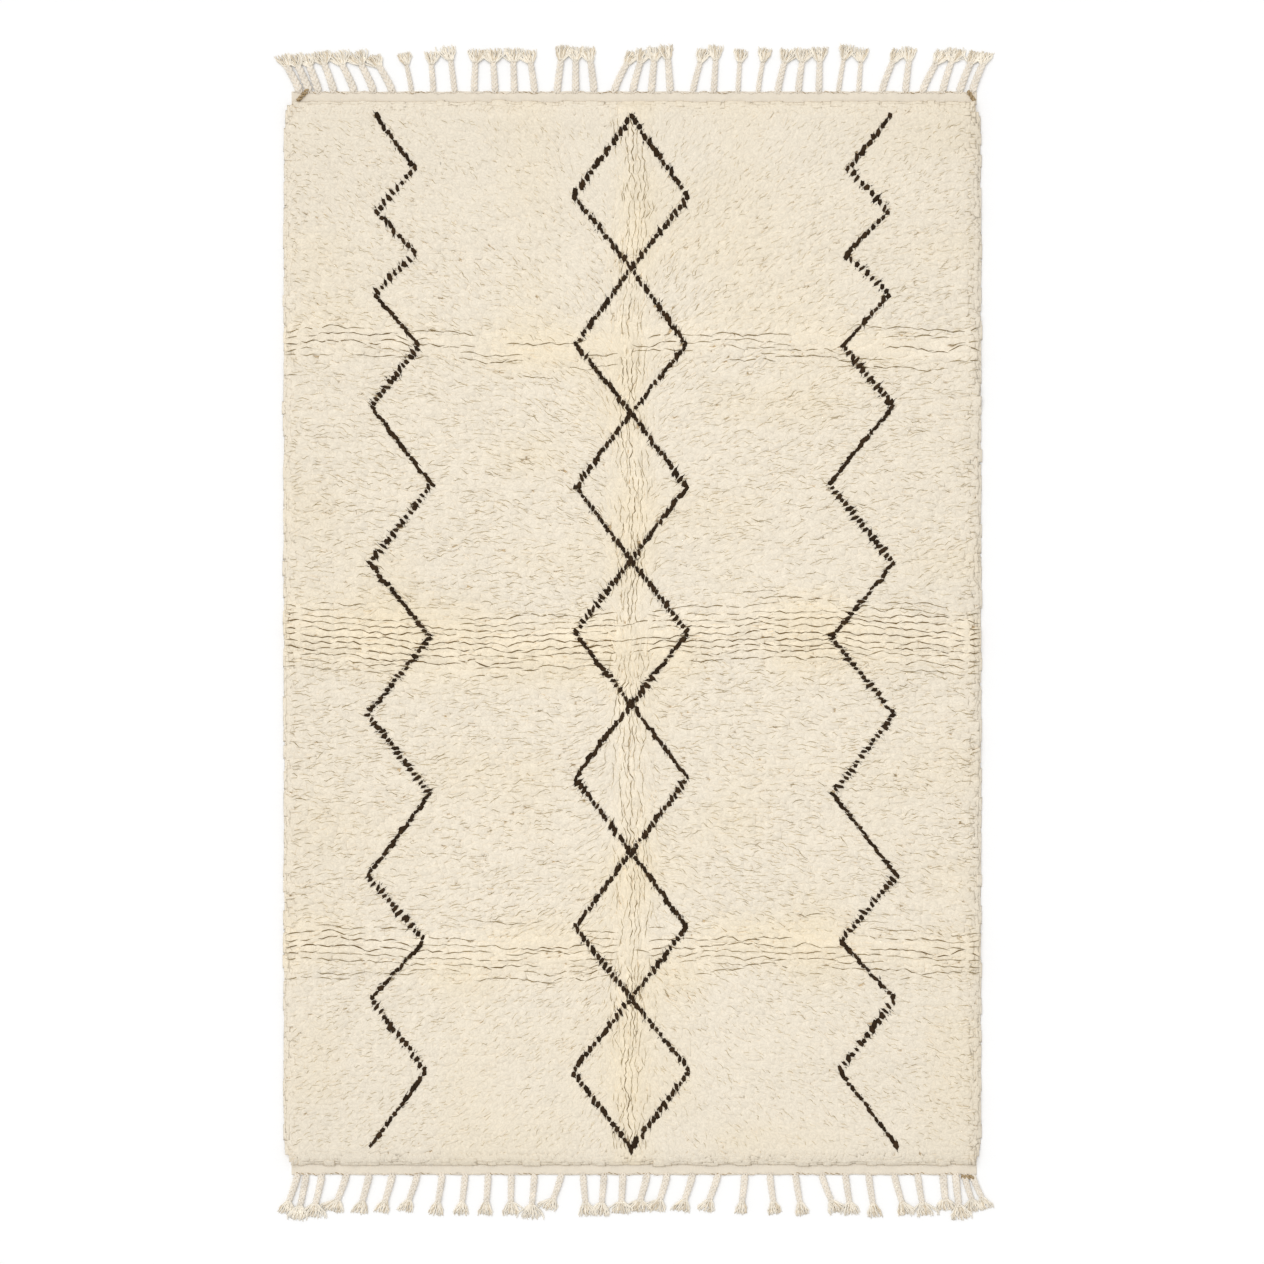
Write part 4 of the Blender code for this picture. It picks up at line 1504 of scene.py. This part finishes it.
# %% Where the tassels lie
Clump = namedtuple("Clump", "plaits roots tips reaches plait_width tuft_width")
TOP_CLUMPS = (
    Clump(3, (-0.768, -0.725), (-0.814, -0.759), (0.085, 0.088), 0.019, 0.027),
    Clump(2, (-0.690, -0.643), (-0.725, -0.688), (0.094, 0.092), 0.018, 0.034),
    Clump(2, (-0.599, -0.556), (-0.645, -0.604), (0.093, 0.085), 0.018, 0.032),
    Clump(1, (-0.512, -0.512), (-0.531, -0.531), (0.092, 0.092), 0.012, 0.027),
    Clump(2, (-0.462, -0.414), (-0.470, -0.428), (0.094, 0.107), 0.014, 0.024),
    Clump(2, (-0.369, -0.321), (-0.364, -0.328), (0.100, 0.100), 0.016, 0.035),
    Clump(2, (-0.277, -0.231), (-0.281, -0.245), (0.102, 0.097), 0.016, 0.031),
    Clump(3, (-0.179, -0.095), (-0.165, -0.108), (0.108, 0.104), 0.017, 0.029),
    Clump(4, (-0.049, 0.079), (-0.003, 0.071), (0.094, 0.110), 0.017, 0.027),
    Clump(2, (0.131, 0.179), (0.159, 0.186), (0.101, 0.108), 0.015, 0.027),
    Clump(2, (0.234, 0.280), (0.241, 0.298), (0.100, 0.102), 0.012, 0.027),
    Clump(3, (0.325, 0.419), (0.350, 0.422), (0.100, 0.104), 0.016, 0.032),
    Clump(2, (0.464, 0.510), (0.483, 0.518), (0.110, 0.102), 0.012, 0.026),
    Clump(2, (0.563, 0.617), (0.603, 0.630), (0.101, 0.104), 0.016, 0.030),
    Clump(2, (0.656, 0.702), (0.706, 0.735), (0.096, 0.102), 0.017, 0.031),
    Clump(2, (0.741, 0.770), (0.781, 0.808), (0.096, 0.093), 0.018, 0.030),
)
BOTTOM_CLUMPS = (
    Clump(2, (-0.773, -0.753), (-0.805, -0.775), (0.092, 0.106), 0.0165, 0.031),
    Clump(2, (-0.717, -0.661), (-0.741, -0.695), (0.100, 0.087), 0.017, 0.039),
    Clump(2, (-0.609, -0.556), (-0.635, -0.583), (0.091, 0.089), 0.017, 0.031),
    Clump(1, (-0.499, -0.499), (-0.530, -0.530), (0.086, 0.086), 0.016, 0.030),
    Clump(4, (-0.442, -0.284), (-0.458, -0.286), (0.095, 0.094), 0.016, 0.029),
    Clump(2, (-0.231, -0.170), (-0.241, -0.199), (0.103, 0.083), 0.016, 0.030),
    Clump(2, (-0.120, -0.072), (-0.111, -0.081), (0.096, 0.096), 0.016, 0.031),
    Clump(2, (-0.029, 0.026), (-0.034, 0.001), (0.092, 0.087), 0.017, 0.032),
    Clump(3, (0.072, 0.188), (0.045, 0.156), (0.086, 0.086), 0.017, 0.035),
    Clump(1, (0.250, 0.250), (0.239, 0.239), (0.092, 0.092), 0.017, 0.025),
    Clump(2, (0.307, 0.366), (0.320, 0.382), (0.092, 0.095), 0.016, 0.027),
    Clump(2, (0.426, 0.480), (0.462, 0.495), (0.090, 0.094), 0.016, 0.032),
    Clump(1, (0.533, 0.533), (0.549, 0.549), (0.100, 0.100), 0.016, 0.030),
    Clump(2, (0.592, 0.645), (0.620, 0.662), (0.095, 0.097), 0.016, 0.031),
    Clump(2, (0.703, 0.732), (0.711, 0.743), (0.084, 0.105), 0.018, 0.032),
    Clump(2, (0.752, 0.770), (0.779, 0.807), (0.086, 0.080), 0.0155, 0.030),
)
TUFT_SPACING = 0.0015
TASSEL_SEED = 7
Tassel = namedtuple("Tassel", "root tip reach plait_width tuft_width")


def even_places(first, last, count):
    if count == 1:
        return [(first + last) / 2]
    return [first + (last - first) * i / (count - 1) for i in range(count)]


def tassels_of(clumps):
    """Every tassel of a band, from left to right. Tufts keep clear of their neighbours."""
    tassels = []
    for clump in clumps:
        roots = even_places(*clump.roots, clump.plaits)
        tips = even_places(*clump.tips, clump.plaits)
        reaches = even_places(*clump.reaches, clump.plaits)
        for root, tip, reach in zip(roots, tips, reaches):
            tassels.append(Tassel(root, tip, reach, clump.plait_width, clump.tuft_width))
    for i, tassel in enumerate(tassels):
        neighbours = tassels[max(i - 1, 0):i] + tassels[i + 1:i + 2]
        room = min(abs(other.tip - tassel.tip) for other in neighbours) - TUFT_SPACING
        tassels[i] = tassel._replace(tuft_width=min(tassel.tuft_width, room))
    return tassels


# %% [markdown]
# A plait is three thick yarns. Each one's path is worked out along the tassel's own middle
# line, which leans over from the root to the tip, so a helper first turns a distance from
# the band and a place beside that line into a point on the floor.

# %% A plait
TASSEL_LEAN = 1.2
TASSEL_TURN = 0.5
INSIDE = 0.005
PLAIT_END = 0.70
PLY_SHARE = 0.20
SWING_SHARE = 0.30
RISE = 0.0016
PLAIT_TURN = 0.030
PLAIT_STEP = 0.0034
PLAIT_WIDTHS = ((-0.05, 0.07, 0.34, 0.62, 0.70), (0.80, 1.10, 1.0, 0.92, 0.85))
PLAIT_FULLNESS = ((-0.05, 0.05, 0.62, 0.70), (0.45, 1, 1, 0.75))
OFF_FLOOR = 0.0002


def on_tassel(tassel, outer, side, out, aside, up):
    """A point at a distance out from the band, with its place beside the middle line."""
    at = max(out / tassel.reach, 1e-6)
    lean = tassel.tip - tassel.root
    slope = TASSEL_LEAN * lean * at ** (TASSEL_LEAN - 1) / tassel.reach
    across = Vector((1, -slope * side * TASSEL_TURN)).normalized() * aside
    x = tassel.root + lean * at ** TASSEL_LEAN + across.x
    return (x, outer + side * out + across.y, up)


def plait(paths, tassel, outer, side, chance):
    strand_radius = PLY_SHARE * tassel.plait_width
    swing = SWING_SHARE * tassel.plait_width
    length = INSIDE + PLAIT_END * tassel.reach
    steps = round(length / PLAIT_STEP)
    start = chance.uniform(0, math.tau)
    for strand in range(3):
        points, radii = [], []
        for i in range(steps + 1):
            out = length * i / steps - INSIDE
            at = out / tassel.reach
            turn = start + math.tau * (out / PLAIT_TURN + strand / 3)
            width = np.interp(at, *PLAIT_WIDTHS)
            full = np.interp(at, *PLAIT_FULLNESS)
            aside = swing * width * math.sin(turn)
            middle = strand_radius * full + RISE * full + OFF_FLOOR
            up = middle + RISE * full * math.sin(2 * turn)
            points.append(on_tassel(tassel, outer, side, out, aside, up))
            radii.append(strand_radius * full * width ** 0.5)
        add_path(paths, points, radii)


# %% [markdown]
# Below its binding a plait opens into a tuft. Its yarns lie as they fall, some above others,
# so its clefts are uneven. Thicker yarns lie under them, so that no floor shows there. These,
# and about one in four of the yarns above, are a piece of their own, painted darker and
# yellower as shade, the colour of wool that lies deep in the clefts.

# %% A tuft
TUFT_START = 0.655
YARN_RADII = (0.0010, 0.0016)
CORE_RADIUS = 0.0017
YARN_EVERY = 0.0023
CORE_EVERY = 0.0070
PAINTED_SHADE_SHARE = 0.24
TUFT_WIDER = 1.12
NECK_SHARE = 0.30
FLARE = 0.72
FLARE_POWER = 0.9
TUFT_STEPS = 6
YARN_OFF_FLOOR = 0.0003
NECK_LIFT = 0.0022
LIFT_LOST = 0.5
YARN_AT_NECK = 0.95
YARN_SWELL = 0.25
YARN_TAPER = 0.30
CRIMP = 0.0013
CRIMP_LENGTH = 0.0145
FAN_UNREST = 0.09
YARN_LIFTS = (0.0012, 0.0024, 0.0034)
END_UNEVEN = 0.07
CORE_FAN = 0.75
CORE_END = 0.96


def tuft_yarn(paths, tassel, outer, side, chance, fan, lift, end, radius):
    """One yarn of a tuft. Fan is its place from -1 to 1 across it, or beyond for a stray."""
    neck = NECK_SHARE * tassel.plait_width
    half = TUFT_WIDER * tassel.tuft_width / 2
    phase = chance.uniform(0, math.tau)
    drawn = max(-1.0, min(1.0, fan))
    points, radii = [], []
    for i in range(TUFT_STEPS + 1):
        u = i / TUFT_STEPS
        out = tassel.reach * (TUFT_START + (end - TUFT_START) * u)
        open_here = min(1, u / FLARE) ** FLARE_POWER
        spread = drawn * neck + (fan * half - drawn * neck) * open_here
        spread += CRIMP * min(1, 2 * u) * math.sin(math.tau * out / CRIMP_LENGTH + phase)
        low = radius + YARN_OFF_FLOOR + NECK_LIFT * (1 - u) ** 1.5
        points.append(on_tassel(tassel, outer, side, out, spread, low + lift * (1 - LIFT_LOST * u)))
        radii.append(radius * (YARN_AT_NECK + YARN_SWELL * math.sin(math.pi * u) - YARN_TAPER * u ** 3))
    add_path(paths, points, radii)


def tuft(paths, cores, tassel, outer, side, chance):
    for fan in even_places(-1, 1, round(tassel.tuft_width / YARN_EVERY)):
        fan += chance.uniform(-FAN_UNREST, FAN_UNREST)
        lift = chance.choice(YARN_LIFTS)
        end = 1 - chance.uniform(0, END_UNEVEN)
        # About one in four top yarns go to the painted shade piece, as dark streaks of shade.
        owner = cores if chance.random() < PAINTED_SHADE_SHARE else paths
        tuft_yarn(owner, tassel, outer, side, chance, fan, lift, end, chance.uniform(*YARN_RADII))
    for fan in even_places(-CORE_FAN, CORE_FAN, round(tassel.tuft_width / CORE_EVERY)):
        tuft_yarn(cores, tassel, outer, side, chance, fan, 0, CORE_END, CORE_RADIUS)


# %% [markdown]
# Where two tufts of a clump hang side by side, a few yarns of each stray over to the other,
# so the clump looks like one broad tuft with a loose middle.

# %% Stray yarns
STRAYS = 4
STRAY_ROOM = 0.050
STRAY_FROM = 0.9
STRAY_OVER = 0.6
STRAY_BEYOND = 0.2
STRAY_LIFT = (0.001, 0.0045)
STRAY_SHORTER = (0.01, 0.10)


def stray_yarns(paths, left, right, outer, side, chance):
    """Yarns that bridge the gap between two neighbouring tufts, if they hang together."""
    room = right.tip - left.tip
    if room > STRAY_ROOM:
        return
    for _ in range(STRAYS):
        for tassel, way in ((left, 1), (right, -1)):
            farthest = STRAY_OVER * room / (tassel.tuft_width / 2) + STRAY_BEYOND
            fan = way * chance.uniform(STRAY_FROM, farthest)
            end = 1 - chance.uniform(*STRAY_SHORTER)
            lift = chance.uniform(*STRAY_LIFT)
            tuft_yarn(paths, tassel, outer, side, chance, fan, lift, end, chance.uniform(*YARN_RADII))


# %% [markdown]
# A thread wound twice round the neck keeps each plait from opening.

# %% The binding of a tassel
BINDING_AT = 0.672
BINDING_TURNS = 2
BINDING_STEPS = 7
BINDING_PITCH = 0.0018
BINDING_RADIUS = 0.0009
NECK_WIDTH_SHARE = 0.40
NECK_HEIGHT = 0.0038


def binding(paths, tassel, outer, side):
    steps = BINDING_TURNS * BINDING_STEPS
    points = []
    for i in range(steps + 1):
        turn = math.tau * i / BINDING_STEPS
        out = tassel.reach * BINDING_AT + BINDING_PITCH * i / BINDING_STEPS
        aside = NECK_WIDTH_SHARE * tassel.plait_width * math.cos(turn)
        up = NECK_HEIGHT + BINDING_RADIUS + NECK_HEIGHT * math.sin(turn)
        points.append(on_tassel(tassel, outer, side, out, aside, up))
    add_path(paths, points, [BINDING_RADIUS] * len(points))


# %% [markdown]
# Along the outer edge of each band two yarns, one brown and one cream, are twined round
# each other to hold the wefts. The brown one sinks into the weave here and there, so from
# above they show as a broken dark line. At three corners the ends of the edge cord are
# left as short twisted stubs.

# %% Twined edge and corner cords
TWINE_RADIUS = 0.0010
TWINE_TURN = 0.013
TWINE_STEP = 0.0024
TWINE_UP = BAND_THICKNESS + 0.0006
TWINE_INSET = 0.0022
TWINE_SHORTER = 0.004
SINK = 0.0042
SINK_LENGTHS = (0.230, 0.087)
STUB_TURN = 0.019
STUB_RADIUS = 0.0028
WOBBLE = 0.0012
WOBBLE_LENGTHS = (0.071, 0.031)
CORNER_STUBS = {
    "top": (((-0.7720, 1.2130), (-0.7480, 1.2390)), ((0.7745, 1.2130), (0.7600, 1.2350))),
    "bottom": (((0.7450, -1.2450), (0.7730, -1.2470)),),
}


def twine(paths, start, end, up, phase, turn_length, radius, sink=0.0):
    """One of two yarns that wind round the line from start to end."""
    line = Vector(end) - Vector(start)
    steps = round(line.length / TWINE_STEP)
    aside = Vector((-line.y, line.x)).normalized()
    points = []
    for i in range(steps + 1):
        gone = line.length * i / steps
        place = Vector(start) + line * i / steps
        turn = math.tau * gone / turn_length + phase
        low = sum(0.25 + 0.25 * math.sin(math.tau * gone / length + phase) for length in SINK_LENGTHS)
        wobble = WOBBLE * sum(math.sin(math.tau * gone / length) for length in WOBBLE_LENGTHS)
        place += aside * (radius * math.cos(turn) + wobble * min(1, line.length))
        high = max(up + radius * math.sin(turn) - sink * low, radius + LOWEST)
        points.append((place.x, place.y, high))
    add_path(paths, points, [radius] * len(points))


def corner_stubs(paths, end_name):
    """The twisted ends of the edge cord that show at the corners."""
    for start, end in CORNER_STUBS[end_name]:
        for phase in (0, math.pi):
            twine(paths, start, end, BAND_THICKNESS + STUB_RADIUS, phase, STUB_TURN, STUB_RADIUS)


# %% [markdown]
# Both ends are made alike, out of their own tables. Each kind of yarn becomes one piece: the
# plaits, the tufts with their bindings and stray yarns in painted light, the yarns in painted
# shade under and among them, and the two twined cords.

# %% Both ends of the rug
def make_end(end_name, clumps, side):
    node = "end_band_" + end_name
    inner, outer = band_edges(side)
    band = declare(woven_band("weave_" + end_name, side), node)
    chance = random.Random(TASSEL_SEED + side)
    tassels = tassels_of(clumps)
    thick = new_paths("plait_paths_" + end_name, sides=6)
    thin = new_paths("tuft_paths_" + end_name, sides=4)
    deep = new_paths("core_paths_" + end_name, sides=4)
    for tassel in tassels:
        plait(thick, tassel, outer, side, chance)
        tuft(thin, deep, tassel, outer, side, chance)
        binding(thin, tassel, outer, side)
    for left, right in zip(tassels, tassels[1:]):
        stray_yarns(thin, left, right, outer, side, chance)
    plaits = declare(spin("plaits_" + end_name, (thick,), YARN), node)
    tufts = declare(spin("tufts_" + end_name, (thin,), PAINTED_LIGHT_TUFT_YARN), node)
    cores = declare(spin("tuft_cores_" + end_name, (deep,), PAINTED_SHADE_YARN), node)
    fringe = [plaits, tufts, cores]
    edge_y = outer - side * TWINE_INSET
    left_end = (BAND_MIDDLE - BAND_LENGTH / 2 + TWINE_SHORTER, edge_y)
    right_end = (BAND_MIDDLE + BAND_LENGTH / 2 - TWINE_SHORTER, edge_y)
    cords = []
    for label, material, phase, sink in (("cream", YARN, 0, 0), ("brown", DARK_YARN, math.pi, SINK)):
        paths = new_paths(f"twine_{label}_{end_name}", sides=4)
        twine(paths, left_end, right_end, TWINE_UP, phase, TWINE_TURN, TWINE_RADIUS, sink)
        if label == "brown":
            corner_stubs(paths, end_name)
        cords.append(declare(spin(f"twine_{label}_{end_name}", (paths,), material), node))
    yarn = sum(triangles(piece) for piece in fringe)
    print(f"{end_name}: {len(tassels)} tassels, {yarn} triangles, band {triangles(band)}")
    return band, fringe + cords


top_band, top_with = make_end("top", TOP_CLUMPS, side=1)
bottom_band, bottom_with = make_end("bottom", BOTTOM_CLUMPS, side=-1)

# %% [markdown]
# ## Sheets
#
# The ground weave and the two bands are cloth.

# %% [markdown]
# The last step prints the size of the imported model and of the finished rug side by side, so
# that the two can be compared.

# %% Sizes
visual_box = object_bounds()
for label, (low, high) in (("model", CAD_BOX), ("rug", visual_box)):
    print(label, " x ".join(f"{1000 * (high[i] - low[i]):.1f}" for i in range(3)), "mm")
